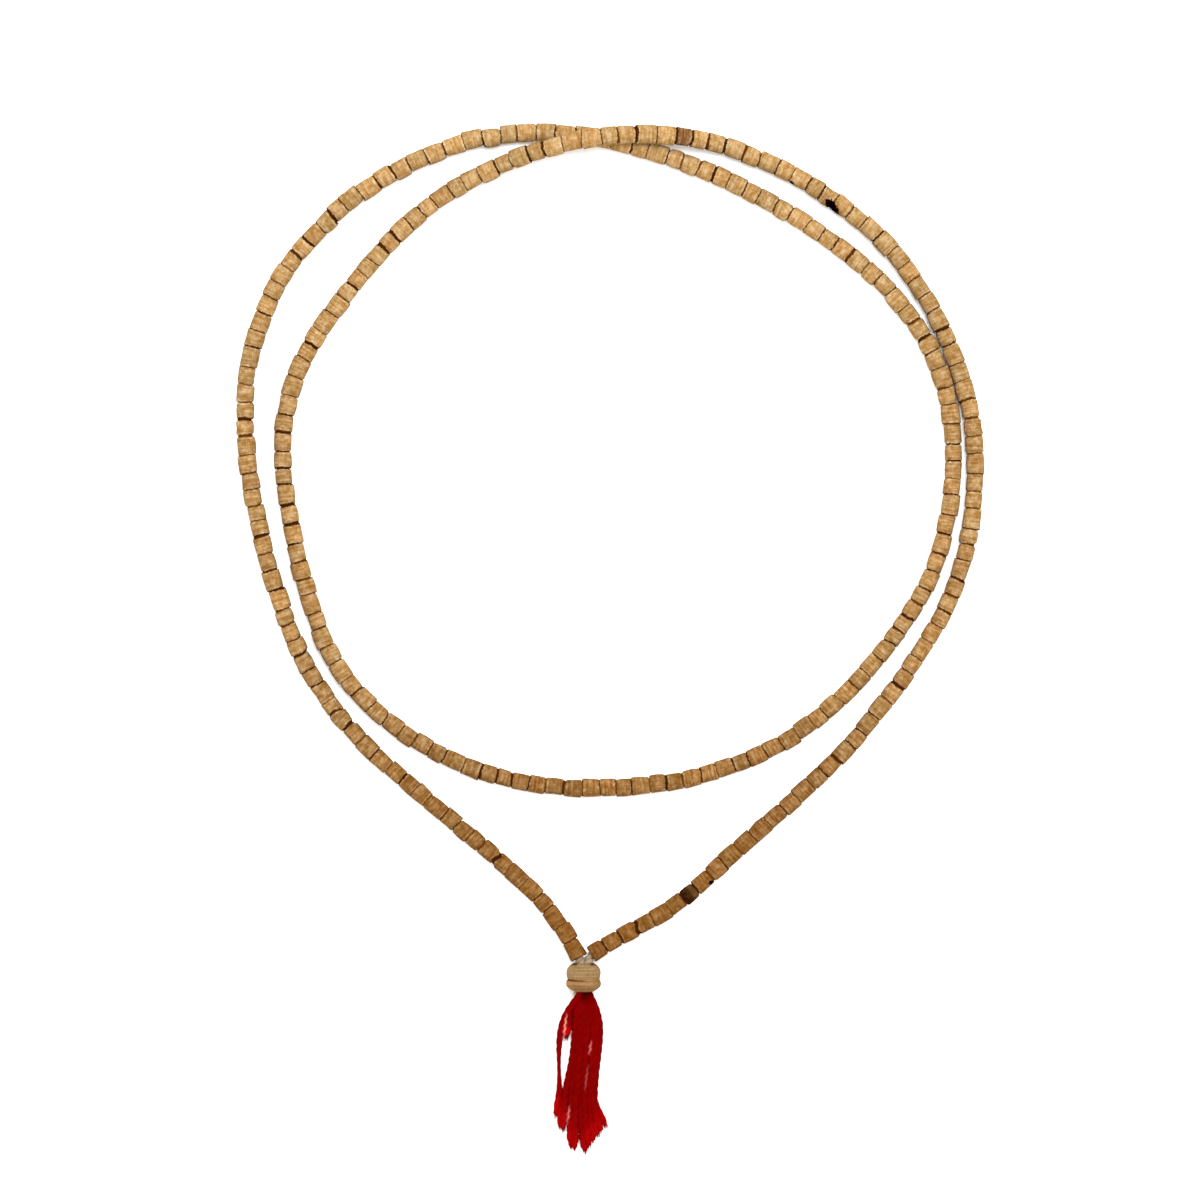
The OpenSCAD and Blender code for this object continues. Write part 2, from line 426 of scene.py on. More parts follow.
class JointFit(Enum):
    """How two neighbouring beads meet: least gap, further gap at the open side, share of the joints."""

    TIGHT = (0.0, 0.12, 0.2)
    SNUG = (0.125, 0.16, 0.42)
    TAPERING = (0.02, 0.65, 0.22)
    WIDE = (0.38, 0.27, 0.14)


@dataclass(frozen=True)
class HandWork:
    """What the hand leaves different from bead to bead, one row for each joint, bead or bead end.

    Two numbers are the ends of a range, and a spread is that of a normal draw.
    """

    beads: int
    seed: int = 108
    # Joints: slant, and the further slant of a few; ripples, waves and gaps; mean, spread and least soil
    slant_spread: float = 0.13
    outlier_share: float = 0.18
    outlier_spread: float = 0.3
    ripple: Span = (0.0, 0.12)
    wave: Span = (0.0, 0.09)
    gap_stray: Span = (0.7, 1.3)
    open_stray: Span = (0.5, 1.3)
    soil: tuple[float, float, float] = (0.42, 0.22, 0.1)
    # Bodies, as shares of the width, but for the offsets and the grain's shift, in millimetres, and
    # the half waves of the lump along the bead
    width_spread: float = 0.028
    width_limit: float = 0.06
    belly: Span = (-0.02, 0.055)
    taper_spread: float = 0.025
    offset_spread: float = 0.15
    oval: Span = (0.0, 0.03)
    lobes: Span = (0.0, 0.03)
    lump: Span = (0.0, 0.045)
    lump_waves: Span = (0.8, 2.4)
    grain_shift: float = 400.0
    # Ends: rounding of the edges and what wear adds to it, depth and breadth of the chips
    edge: Span = (0.09, 0.25)
    edge_wear: float = 0.35
    chipped_share: float = 0.34
    chip: Span = (0.15, 0.6)
    chip_spread: Span = (0.22, 0.5)

    @cached_property
    def joints(self) -> dict[str, np.ndarray]:
        """Slant, ripple and gap of each joint, with the angles at which they are greatest.

        Returns:
            Arrays by name, one value for each joint.
        """
        draw = np.random.default_rng(self.seed)
        count = self.beads + 1
        fits = np.array([fit.value for fit in JointFit])
        fit = fits[draw.choice(len(fits), count, p=fits[:, 2] / fits[:, 2].sum())]
        outlier = draw.random(count) < self.outlier_share
        usual = draw.normal(0, self.slant_spread, count)
        further = draw.normal(0, self.outlier_spread, count)
        mean, spread, least = self.soil
        return {
            "slant": usual + outlier * further,
            "slant_turn": draw.uniform(0, FULL_TURN, count),
            "ripple": draw.uniform(*self.ripple, count),
            "ripple_turn": draw.uniform(0, FULL_TURN, count),
            "wave": draw.uniform(*self.wave, count),
            "wave_turn": draw.uniform(0, FULL_TURN, count),
            "gap": fit[:, 0] * draw.uniform(*self.gap_stray, count),
            "gap_open": fit[:, 1] * draw.uniform(*self.open_stray, count),
            "gap_turn": draw.uniform(0, FULL_TURN, count),
            "soil": np.clip(draw.normal(mean, spread, count) + fit[:, 0] + fit[:, 1] / 2, least, 1),
        }

    @cached_property
    def bodies(self) -> dict[str, np.ndarray]:
        """Width, belly, taper, offsets, ovalness and tint of each bead.

        Returns:
            Arrays by name, one row for each bead.
        """
        draw = np.random.default_rng(self.seed + 1)
        count = self.beads
        width = np.clip(draw.normal(0, self.width_spread, count), -self.width_limit, self.width_limit)
        return {
            "width": 1 + width,
            "belly": draw.uniform(*self.belly, count),
            "taper": draw.normal(0, self.taper_spread, count),
            "aside": draw.normal(0, self.offset_spread, count),
            "above": draw.normal(0, self.offset_spread / 2, count),
            "oval": draw.uniform(*self.oval, count),
            "oval_turn": draw.uniform(0, FULL_TURN, count),
            "lobes": draw.uniform(*self.lobes, count),
            "lobes_turn": draw.uniform(0, FULL_TURN, count),
            "lump": draw.uniform(*self.lump, count),
            "lump_turn": draw.uniform(0, FULL_TURN, count),
            "lump_waves": draw.uniform(*self.lump_waves, count),
            "light": draw.normal(0, 1, count),
            "hue": draw.uniform(0, 1, count),
            "place": draw.uniform(-self.grain_shift, self.grain_shift, (count, 3)),
        }

    @cached_property
    def ends(self) -> dict[str, np.ndarray]:
        """Edge rounding and chip of each bead's two ends, as end and bead.

        Returns:
            Arrays by name, as end and bead.
        """
        draw = np.random.default_rng(self.seed + 2)
        size = (2, self.beads)
        chipped = draw.random(size) < self.chipped_share
        return {
            "edge": draw.uniform(*self.edge, size) + self.edge_wear * draw.random(size) ** 3,
            "chip": chipped * draw.uniform(*self.chip, size),
            "chip_turn": draw.uniform(0, FULL_TURN, size),
            "chip_spread": draw.uniform(*self.chip_spread, size),
        }


class Stain(Enum):
    """Beads with a dark stain: place as seen from above, strength, share lost at its first and last end."""

    RED_BROWN = (22.5, 144.7, 0.92, 0.0, 0.3)
    NEARLY_BLACK = (21.6, -75.4, 1.0, 0.6, 0.0)


class Knot(Enum):
    """Black knots in the wood: place as seen from above, half length along the string, half width."""

    LARGE = (64.1, 125.0, 2.7, 1.35)
    CHIP = (29.2, -70.8, 0.8, 0.65)
    NOTCH = (52.5, 131.8, 0.8, 0.45)


class Slit(Enum):
    """Pale slits, painted light: the pale pink seen through narrow gaps between yarns, painted on the yarns:
    place from above, half width, half length, strength.
    """

    UPPER_LEFT = (-13.2, -112.8, 0.4, 4.6, 0.95)
    UPPER_RIGHT = (-5.9, -118.8, 0.34, 2.6, 0.55)
    LOWER_RIGHT = (-6.9, -127.4, 0.3, 4.8, 0.2)
    LOWER_LEFT = (-12.3, -138.4, 0.4, 3.4, 0.55)


class WideJoint(Enum):
    """Joints that stand wide open: place as seen from above."""

    RIGHT_OF_GURU = (7.9, -84.2)
    LEFT_OF_GURU = (-32.9, -63.8)


@dataclass(frozen=True)
class BeadRound:
    """One round of loose turned beads.

    A bead is a profile of rings turned about its own chord: bore, middle of the end face, rim, side,
    and the same back to the bore at the other end. Its end faces lie on the planes that it shares
    with its neighbours: their middles meet there, and their rims stand apart by the joint's gap.
    """

    name: str
    node: str
    first: int
    last: int
    layout: StringLayout
    work: HandWork
    sides: int = 12
    bore_radius: float = 0.95
    # Lobes round a bead, and ripples and waves round a joint
    lobes: int = 3
    ripples: int = 3
    waves: int = 5
    # Paleness at heights up the layout, from the tassel's end to the far end of the string: painted light,
    # the beads paler towards the top where the light is brighter and darker towards the bottom
    pale_y: tuple[float, ...] = (-90.0, -45.0, -5.0, 75.0, 145.0)
    paleness: tuple[float, ...] = (0.11, 0.32, 0.58, 0.645, 0.855)
    # Radius of the part of an end face that meets its neighbour, as a share of the bead's
    meeting_share: float = 0.93
    meeting_gap: float = 0.02
    # Least depth of a joint's groove, and the gap of the joints beside a stained bead
    groove_depth: float = 0.05
    stained_gap: float = 0.3
    # Gap of the wide joints and how far their two faces wave
    wide_gap: float = 0.8
    wide_ripple: float = 0.42
    # Beads this near to a knot, by their middles, show their part of it; how far it leans, and its depth
    knot_reach: float = 4.6
    knot_lean: float = 0.3
    knot_depth: float = 1.2
    # Shares of the way between the two rims at which the side has rings, and its own first ring's
    side_shares: tuple[float, ...] = (0.5,)
    first_share: float = 0.05
    # For the bore, the face, the rim and the side: share of the gap, of the edge inwards and down,
    # and of a chip's depth inwards and down
    near_rings: int = 4
    gap_share: tuple[float, ...] = (0.0, 0.0, 1.0, 1.0)
    edge_in: tuple[float, ...] = (0.0, 0.0, 0.0, 1.0)
    edge_drop: tuple[float, ...] = (0.0, 0.0, 1.0, 0.0)
    chip_in: tuple[float, ...] = (0.0, 0.0, 0.1, 1.0)
    chip_drop: tuple[float, ...] = (0.0, 0.0, 1.0, 0.35)

    @cached_property
    def joint_strays(self) -> dict[str, np.ndarray]:
        """Strays of the joints, soiled at both ends of the stained beads and where they stand wide open.

        Returns:
            Arrays by name, one value for each joint.
        """
        strays = {key: values.copy() for key, values in self.work.joints.items()}
        for mark in Stain:
            bead = self.layout.nearest_bead(*mark.value[:2])
            strays["gap"][[bead, bead + 1]] = self.stained_gap
            strays["gap_open"][[bead, bead + 1]] = 0.0
            strays["soil"][[bead, bead + 1]] = 1.0
        for mark in WideJoint:
            joint = int(np.linalg.norm(self.layout.joints[:, :2] - np.array(mark.value), axis=1).argmin())
            strays["gap"][joint], strays["gap_open"][joint] = self.wide_gap, 0.0
            strays["ripple"][joint], strays["soil"][joint] = self.wide_ripple, 1.0
        return strays

    def shape(self) -> Shape:
        """Works out all the beads of the round at once, as bead, ring and angle.

        Returns:
            The beads as one shape, with the marks that the wood reads.
        """
        beads = slice(self.first, self.last)
        bodies = {key: values[beads] for key, values in self.work.bodies.items()}
        ends = {key: values[:, beads] for key, values in self.work.ends.items()}
        joints = self.layout.joints
        chords = np.diff(joints, axis=0)
        directions = unit(chords)
        mitres = unit(np.vstack([directions[:1], directions[:-1] + directions[1:], directions[-1:]]))
        start, along = joints[beads], directions[beads]
        length = np.linalg.norm(chords[beads], axis=1)
        side, up = cross_axes(along, UP)
        angle = even_angles(self.sides)
        radial = np.cos(angle)[:, None] * side[:, None] + np.sin(angle)[:, None] * up[:, None]

        middle_y = start[:, 1] + along[:, 1] * length / 2
        usual = self.layout.bead_radius(middle_y)
        turned = 1 + self.layout.width_stray * stray(np.arange(self.first, self.last), 2)
        width = usual * turned * bodies["width"]
        rings = self.rings_radius(width, angle, bodies)
        planes = self.end_planes(along, radial, mitres, length, rings, angle)
        chips = self.chip_depths(angle, ends)
        inwards, outwards = self.profile(rings, planes, chips, ends["edge"])

        centre = start + bodies["aside"][:, None] * side + bodies["above"][:, None] * up
        centre[:, 2] += width - usual
        points = (
            centre[:, None, None]
            + along[:, None, None] * inwards[..., None]
            + radial[:, None] * outwards[..., None]
        )
        points[..., 2] += np.maximum(0, -points[..., 2].min(axis=(1, 2)))[:, None, None]
        faces = grid_quads(len(start), points.shape[1], self.sides, closed_rows=True)
        marks = self.marks(angle, length, planes, inwards, outwards, bodies, points)
        marks["knot_place"] = self.knot_places(points, side, along).reshape(-1, 3)
        return Shape(points.reshape(-1, 3), [faces], marks)

    def knot_places(self, points: np.ndarray, side: np.ndarray, along: np.ndarray) -> np.ndarray:
        """Place of each point against its bead's knot, in half lengths and half widths.

        Args:
            points: Points as bead, ring and angle.
            side: Level axis across each bead.
            along: Unit chord of each bead.

        Returns:
            Place along, across and below the bead's middle, so that its length is 1 at the knot's edge,
            and far away on beads without a knot.
        """
        place = np.full(points.shape, FAR)
        for knot in Knot:
            x, y, half_length, half_width = knot.value
            offset = points[..., :2] - np.array([x, y])
            near = np.linalg.norm(offset.mean(axis=(1, 2)), axis=1) < self.knot_reach
            over = dot(offset[near], along[near, None, None, :2]) / half_length
            across = dot(offset[near], side[near, None, None, :2]) / half_width
            across = across + self.knot_lean * over * half_length / half_width
            middle = points[near, ..., 2].mean(axis=(1, 2))[:, None, None]
            below = np.maximum(0, middle - points[near, ..., 2]) / self.knot_depth
            place[near] = np.stack([over, across, below], axis=-1)
        return place

    def rings_radius(
        self, width: np.ndarray, angle: np.ndarray, bodies: dict[str, np.ndarray]
    ) -> np.ndarray:
        """Radius of the side at each ring: width * (1 + belly + taper + oval + lobes + lump).

        Args:
            width: Radius of each bead.
            angle: Angles round the bead.
            bodies: The beads' own strays.

        Returns:
            Radius as bead, ring and angle.
        """
        own = {key: values[:, None] for key, values in bodies.items()}
        near = np.array([0.0, 0.0, 0.0, self.first_share])
        share = np.concatenate([near, self.side_shares, 1 - near[::-1]])
        bulge = own["belly"] * (1 - (2 * share - 1) ** 2) + own["taper"] * (2 * share - 1)
        oval = own["oval"] * np.cos(2 * (angle - own["oval_turn"]))
        lobes = own["lobes"] * np.cos(self.lobes * (angle - own["lobes_turn"]))
        swing = own["lump"] * np.cos(math.pi * share * own["lump_waves"] + own["lump_turn"])
        lump = swing[:, :, None] * np.cos(angle - own["lump_turn"])[:, None]
        return width[:, None, None] * (1 + bulge[:, :, None] + (oval + lobes)[:, None] + lump)

    def end_planes(
        self,
        along: np.ndarray,
        radial: np.ndarray,
        mitres: np.ndarray,
        length: np.ndarray,
        rings: np.ndarray,
        angle: np.ndarray,
    ) -> list[np.ndarray]:
        """Distance along each bead of its two end faces.

        A face is the joint's plane, (point - joint) . mitre = 0, moved along the bead by
        (slant + ripple) * r / radius and by half of its gap.

        Args:
            along: Unit chord of each bead.
            radial: Outward directions as bead and angle.
            mitres: Unit normals of all the joints' planes.
            length: Distance between each bead's joints.
            rings: Radius as bead, ring and angle.
            angle: Angles round the bead.

        Returns:
            For each end, its place on the chord, its slope against the radius and half of its gap.
        """
        planes = []
        for end in (0, 1):
            own = slice(self.first + end, self.last + end)
            joint = {key: values[own][:, None] for key, values in self.joint_strays.items()}
            facing = dot(along, mitres[own])[:, None]
            slope = -dot(radial, mitres[own][:, None]) / facing
            slant = joint["slant"] * np.cos(angle - joint["slant_turn"])
            ripple = joint["ripple"] * np.cos(self.ripples * (angle - joint["ripple_turn"]))
            ripple = ripple + joint["wave"] * np.cos(self.waves * (angle - joint["wave_turn"]))
            gap = joint["gap"] + joint["gap_open"] * (1 + np.cos(angle - joint["gap_turn"])) / 2
            slope = slope + (slant + ripple) / rings[:, 3]
            place = length[:, None] * end * np.ones_like(slope)
            planes.append(np.stack([place, slope, (1 - 2 * end) * gap / 2]))
        return planes

    def chip_depths(self, angle: np.ndarray, ends: dict[str, np.ndarray]) -> np.ndarray:
        """Depth of the chip at each end: depth * exp(-(angle from its middle / spread) ^ 2).

        Args:
            angle: Angles round the bead.
            ends: The ends' own strays.

        Returns:
            Depth as end, bead and angle.
        """
        turn = (angle - ends["chip_turn"][..., None] + math.pi) % FULL_TURN - math.pi
        return ends["chip"][..., None] * np.exp(-((turn / ends["chip_spread"][..., None]) ** 2))

    def profile(
        self, rings: np.ndarray, planes: list[np.ndarray], chips: np.ndarray, edge: np.ndarray
    ) -> tuple[np.ndarray, np.ndarray]:
        """Places the rings along the bead and out from its chord.

        Args:
            rings: Radius of the side as bead, ring and angle.
            planes: Place, slope and half gap of both end faces.
            chips: Depth of the chips as end, bead and angle.
            edge: Radius of the rounded edges as end and bead.

        Returns:
            Distance along the chord and distance from it, each as bead, ring and angle.
        """
        inwards, outwards = np.empty_like(rings), np.empty_like(rings)
        count = rings.shape[1]
        for end, direction in ((0, 1), (1, -1)):
            own = range(self.near_rings) if end == 0 else range(count - 1, count - 1 - self.near_rings, -1)
            rounding = edge[end][:, None]
            rim = rings[:, own[2]] - rounding - chips[end]
            for k, ring in enumerate(own):
                out = rings[:, ring] - self.edge_drop[k] * rounding - self.chip_drop[k] * chips[end]
                if k == 0:
                    out = np.full_like(out, self.bore_radius)
                elif k == 1:
                    out = np.minimum(self.meeting_share * rings[:, ring], rim - self.groove_depth)
                face = planes[end][0] + planes[end][1] * out + planes[end][2] * self.gap_share[k]
                inset = self.edge_in[k] * rounding + self.chip_in[k] * chips[end] + self.meeting_gap / 2
                outwards[:, ring] = out
                inwards[:, ring] = face + direction * inset
        near, far = inwards[:, self.near_rings - 1], inwards[:, count - self.near_rings]
        for k, share in enumerate(self.side_shares):
            outwards[:, self.near_rings + k] = rings[:, self.near_rings + k]
            inwards[:, self.near_rings + k] = near + share * (far - near)
        return inwards, outwards

    def marks(
        self,
        angle: np.ndarray,
        length: np.ndarray,
        planes: list[np.ndarray],
        inwards: np.ndarray,
        outwards: np.ndarray,
        bodies: dict[str, np.ndarray],
        points: np.ndarray,
    ) -> dict[str, np.ndarray]:
        """Point marks that the wood reads.

        Args:
            angle: Angles round the bead.
            length: Distance between each bead's joints.
            planes: Place, slope and half gap of both end faces.
            inwards: Distance along the chord.
            outwards: Distance from the chord.
            bodies: The beads' own strays.
            points: Finished points.

        Returns:
            Place in the bead, distance from its nearer end, paleness, hue, soil and stain.
        """
        rims = [plane[0] + plane[1] * outwards.max(axis=1) + plane[2] for plane in planes]
        near = inwards - rims[0][:, None]
        far = rims[1][:, None] - inwards
        rim = np.minimum(near, far)
        depth = outwards.max(axis=1, keepdims=True) - outwards
        faces = [0, 1, -2, -1]
        rim[:, faces] = -depth[:, faces]
        across = np.stack([outwards * np.cos(angle), outwards * np.sin(angle)], axis=-1)
        place = np.concatenate([(inwards - length[:, None, None] / 2)[..., None], across], axis=-1)
        place = place + bodies["place"][:, None, None]
        centres = points.mean(axis=(1, 2))
        # Painted light: each bead paler the higher it lies in the layout, darker towards the bottom
        paleness = np.interp(centres[:, 1], self.pale_y, self.paleness)
        stain = np.zeros((self.layout.bead_count, 3))
        for mark in Stain:
            stain[self.layout.nearest_bead(*mark.value[:2])] = mark.value[2:]
        strength, first_loss, last_loss = stain[self.first:self.last].T[..., None, None]
        share = inwards / length[:, None, None]
        stained = strength * (1 - first_loss * (1 - share) ** 2 - last_loss * share**2)
        soil = np.stack([self.joint_strays["soil"][self.first + end:self.last + end] for end in (0, 1)])
        nearer = (near > far).astype(int)
        spread = np.ones(inwards.shape)
        return {
            "bead_place": place.reshape(-1, 3),
            "rim_distance": rim.ravel(),
            "paleness": (paleness[:, None, None] * spread).ravel(),
            "lightness": (bodies["light"][:, None, None] * spread).ravel(),
            "hue": (bodies["hue"][:, None, None] * spread).ravel(),
            "soil": np.where(nearer == 0, soil[0][:, None, None], soil[1][:, None, None]).ravel(),
            "stain": np.clip(stained, 0, 1).ravel(),
        }

    def build(self, finish: "TurnedWood") -> bpy.types.Object:
        """Makes the round's piece in its wood."""
        return fit_piece(self.shape().to_object(self.name, finish.material()), self.node)


@dataclass(frozen=True)
class GuruBead:
    """The larger bead in which both ends of the string meet: its outline turned about its bore."""

    layout: StringLayout
    name: str = "turned_guru_bead"
    node: str = "guru_bead"
    sides: int = 72
    rings_per_step: int = 7
    bore_radius: float = 1.8
    # Rings of the two mouths: distance from the bead's own end, and how far outside the bore
    head_rings: tuple[tuple[float, float], ...] = ((1.6, 0.0), (0.8, 0.05), (0.3, 0.55), (0.02, 1.0))
    foot_rings: tuple[tuple[float, float], ...] = ((-0.05, 0.6), (-0.5, 0.1), (-1.2, 0.0))
    # Rings of the outline beside each mouth that stay plain
    plain_rings: int = 4
    groove_place: float = 4.85
    groove_depth: float = 0.14
    groove_width: float = 0.42
    groove_slant: float = 0.16
    groove_turn: float = 0.5
    # Turned rings: depth, how often each wave comes, and how far they wander along the bead
    ring_depth: float = 0.012
    ring_rates: tuple[float, float, float] = (9.3, 23.0, 41.0)
    ring_wander: float = 0.05
    ovalness: float = 0.006
    # Rim distance that stands for clean wood, for the bore's, and how far the groove and the painted shadow
    # at the mouth lower it
    clean_rim: float = 0.2
    bore_rim: float = -1.5
    groove_tone: float = 0.15
    mouth_shadow_tone: float = 0.4
    # The groove's tone: least share, share of its darker left half, where that ends, and its patches
    groove_shares: Span = (0.4, 0.6)
    dark_half: Span = (-0.2, 0.6)
    patch_share: float = 0.08
    patches: int = 5
    patch_turn: float = 0.4
    # The painted shadow of the thread at the mouth: reach down the bead, and how far aside of the thread it
    # starts and grows
    mouth_reach: float = 0.5
    thread_aside: float = 1.4
    aside_reach: float = 1.0
    # Painted light on the left edge: how much lighter it is, and how far out it starts, as a share of the
    # radius
    painted_edge_light: float = 6.0
    edge_start: float = 0.6
    # Least soil, what the sunk places add, the groove and the painted shadow at the mouth, and where the
    # grain is cut from
    soil: Span = (0.3, 0.4)
    grain_shift: float = 60.0

    def profile(self) -> np.ndarray:
        """Distance from the string end and radius of each ring, from the bore round to the bore.

        Returns:
            One row for each ring.
        """
        places = np.arange((len(GURU_OUTLINE) - 1) * self.rings_per_step + 1) / self.rings_per_step
        head = np.array(self.head_rings) + np.array([0.0, self.bore_radius])
        foot = np.array(self.foot_rings) + np.array([GURU_OUTLINE[-1, 0], self.bore_radius])
        return np.vstack([head, smooth_line(GURU_OUTLINE, places), foot])

    def ringed(
        self, radius: np.ndarray, distance: np.ndarray, angle: np.ndarray, groove: np.ndarray
    ) -> np.ndarray:
        """Cuts the groove and the fine turned rings into the outside.

        Args:
            radius: Radius as ring and angle.
            distance: Distance from the string end as ring and angle.
            angle: Angles round the bead.
            groove: Depth of the groove, from 0 to 1.

        Returns:
            The new radius.
        """
        outside = np.zeros((len(radius), 1))
        outside[len(self.head_rings) + self.plain_rings:-len(self.foot_rings) - self.plain_rings] = 1
        slow, quick, quickest = self.ring_rates
        wander = distance + self.ring_wander * np.cos(2 * angle)
        turning = np.sin(wander * slow) * np.sin(wander * quick + 1) + np.sin(wander * quickest) / 2
        radius = radius - outside * (self.groove_depth * groove + self.ring_depth * turning)
        return radius * (1 + outside * self.ovalness * np.cos(2 * angle - 1))

    def shape(self) -> Shape:
        """Turns the outline about the bore.

        The radius is the outline's, less fine turned rings and one deeper slanting groove, and the
        profile closes through the two mouths and the bore.

        Returns:
            The bead with the marks that the wood reads.
        """
        profile = self.profile()
        angle = even_angles(self.sides)
        distance = np.repeat(profile[:, :1], self.sides, axis=1)
        slanted = distance - self.groove_place - self.groove_slant * np.cos(angle - self.groove_turn)
        groove = np.exp(-((slanted / self.groove_width) ** 2))
        radius = self.ringed(np.repeat(profile[:, 1:], self.sides, axis=1), distance, angle, groove)
        axis = np.array([self.layout.guru_x, self.layout.guru_top_y, self.layout.guru_height])
        along = np.array([0.0, -1.0, 0.0])
        side, up = cross_axes(along, UP)
        radial = np.cos(angle)[:, None] * side + np.sin(angle)[:, None] * up
        points = axis + distance[..., None] * along + radius[..., None] * radial
        quads = grid_quads(1, len(profile), self.sides, closed_rows=True)
        return Shape(points.reshape(-1, 3), [quads], self.marks(distance, radius, angle, groove))

    def marks(
        self, distance: np.ndarray, radius: np.ndarray, angle: np.ndarray, groove: np.ndarray
    ) -> dict[str, np.ndarray]:
        """Point marks that the wood reads: its groove is darker, the mouth has painted shadow beside the
        thread, and its left edge has painted light.

        Args:
            distance: Distance from the string end as ring and angle.
            radius: Radius as ring and angle.
            angle: Angles round the bead.
            groove: Depth of the groove, from 0 to 1.

        Returns:
            The same marks as the small beads have.
        """
        across = np.stack([radius * np.cos(angle), radius * np.sin(angle)], axis=-1)
        # Painted shadow of the thread on the shoulders beside it at the mouth
        aside = 1 - half_wave((np.abs(across[..., 0]) - self.thread_aside) / self.aside_reach)
        thread_shadow = np.exp(-((distance / self.mouth_reach) ** 2)) * aside
        least, more = self.groove_shares
        end, reach = self.dark_half
        patchy = least + more * half_wave((np.cos(angle) - end) / reach)
        patchy = patchy + self.patch_share * np.cos(angle * self.patches + self.patch_turn)
        bore = np.ones((len(radius), 1))
        bore[len(self.head_rings) - 1:len(radius) - len(self.foot_rings) + 1] = 0
        toned = self.clean_rim - self.groove_tone * groove * patchy - self.mouth_shadow_tone * thread_shadow
        least_soil, sunk_soil = self.soil
        # Painted light: the left edge lighter
        left = np.clip((-np.cos(angle) - self.edge_start) / (1 - self.edge_start), 0, 1)
        place = np.concatenate([distance[..., None], across], axis=-1) + self.grain_shift
        return {
            "bead_place": place.reshape(-1, 3),
            "rim_distance": np.where(bore > 0, self.bore_rim, toned).ravel(),
            "paleness": 1 - half_wave(1 - distance.ravel() / GURU_OUTLINE[-1, 0]),
            "lightness": (self.painted_edge_light * left * np.ones(radius.shape)).ravel(),
            "hue": np.full(radius.size, 0.5),
            "soil": least_soil + sunk_soil * np.clip(groove * patchy + thread_shadow, 0, 1).ravel(),
            "stain": np.zeros(radius.size),
            "knot_place": np.full((radius.size, 3), FAR),
        }

    def build(self, finish: "TurnedWood") -> bpy.types.Object:
        """Makes the guru bead's piece in its wood."""
        return fit_piece(self.shape().to_object(self.name, finish.material()), self.node)


@dataclass(frozen=True)
class Thread:
    """The white cotton thread: a plain core through the beads and two twisted plies at the guru bead."""

    layout: StringLayout
    name: str = "twisted_thread"
    node: str = "thread"
    core_radius: float = 0.62
    core_sides: int = 6
    ply_radius: float = 0.54
    ply_orbit: float = 0.36
    # Where the plies swell between guru bead and beads: distance from the line's start, reach, share
    swell: tuple[float, float, float] = (6.6, 2.8, 0.6)
    ply_pitch: float = 3.4
    ply_step: float = 0.12
    twist: Twist = Twist(sides=14, grooves=5, groove_depth=0.06)
    shown_length: float = 9.0
    # Joints that a shown arm passes, its length inside the beads, and where it starts in the guru bead:
    # distance from the bead's foot and from its string end
    arm_joints: int = 6
    hidden_length: float = 4.0
    arm_start: Span = (2.3, -1.1)
    # Turn of the first arm's plies, and what the second has more
    arm_turns: Span = (0.6, 1.9)
    bead_length: float = 5.0
    # The tail: its length for the count of its rings, and its ends' places beside the guru bead's foot
    tail_length: float = 2.8
    tail_start: tuple[float, float, float] = (-1.9, 0.9, 4.2)
    tail_end: tuple[float, float, float] = (-2.2, -1.9, 4.4)

    def arms(self) -> list[np.ndarray]:
        """Centre lines of the two shown stretches, from inside the guru bead into the first beads.

        Returns:
            One line of evenly spaced points for each of the string's ends.
        """
        lines = []
        layout, count = self.layout, self.arm_joints
        fine = np.arange(0, self.shown_length + self.hidden_length, self.ply_step)
        for sign, joints in ((-1, layout.joints[:count]), (1, layout.joints[::-1][:count])):
            x = layout.guru_x + sign * layout.arm_offset
            inside = [
                [x, layout.guru_foot_y + self.arm_start[0], layout.guru_height],
                [x, layout.guru_top_y + self.arm_start[1], layout.guru_height],
            ]
            points = np.vstack([inside, joints])
            run = np.concatenate([[0], np.cumsum(np.linalg.norm(np.diff(points, axis=0), axis=1))])
            lines.append(np.stack([np.interp(fine, run, points[:, k]) for k in range(3)], axis=-1))
        return lines

    def plies(self, line: np.ndarray, phase: float) -> Shape:
        """Winds two plies round a centre line, swollen between the guru bead and the beads.

        Args:
            line: Points of the centre line, evenly spaced.
            phase: Turn at its start.

        Returns:
            Both plies as one shape.
        """
        run = np.arange(len(line)) * self.ply_step
        place, reach, share = self.swell
        size = 1 + share * half_wave(np.abs(run - place) / reach)
        phases = phase + np.array([[0.0], [math.pi]])
        turns = run * FULL_TURN / self.ply_pitch
        centres, radii = self.twist.wound(line, phases, turns, self.ply_orbit * size, self.ply_radius * size)
        return tubes(centres, radii, UP, self.marks(run, radii, 0.0))

    def marks(self, run: np.ndarray, radii: np.ndarray, soil: float) -> dict[str, np.ndarray]:
        """Marks that the cotton reads: place in the strand, and how dark it is, by soil and painted shade.
        """
        return {"strand_place": strand_place(run, radii), "soil": soil * np.ones(radii.shape)}

    def shape(self) -> Shape:
        """Joins the hidden core, the two shown arms and the short tail under the guru bead.

        Returns:
            The thread as one shape.
        """
        joints = self.layout.joints[1:-1]
        radii = np.full((1, len(joints), self.core_sides), self.core_radius)
        run = np.arange(len(joints)) * self.bead_length
        # The hidden core is fully dark: partly soil, partly painted shade for the gaps between beads
        whole = tubes(joints[None], radii, UP, self.marks(run, radii, 1.0))
        first, more = self.arm_turns
        for number, arm in enumerate(self.arms()):
            whole = whole.joined(self.plies(arm, first + number * more))
        share = np.linspace(0, 1, int(self.tail_length / self.ply_step))[:, None]
        foot = np.array([self.layout.guru_x, self.layout.guru_foot_y, 0.0])
        start, end = foot + np.array(self.tail_start), foot + np.array(self.tail_end)
        return whole.joined(self.plies(start + share * (end - start), 0.0))

    def build(self, finish: "Cotton") -> bpy.types.Object:
        """Makes the thread's piece in its cotton."""
        return fit_piece(self.shape().to_object(self.name, finish.material()), self.node)


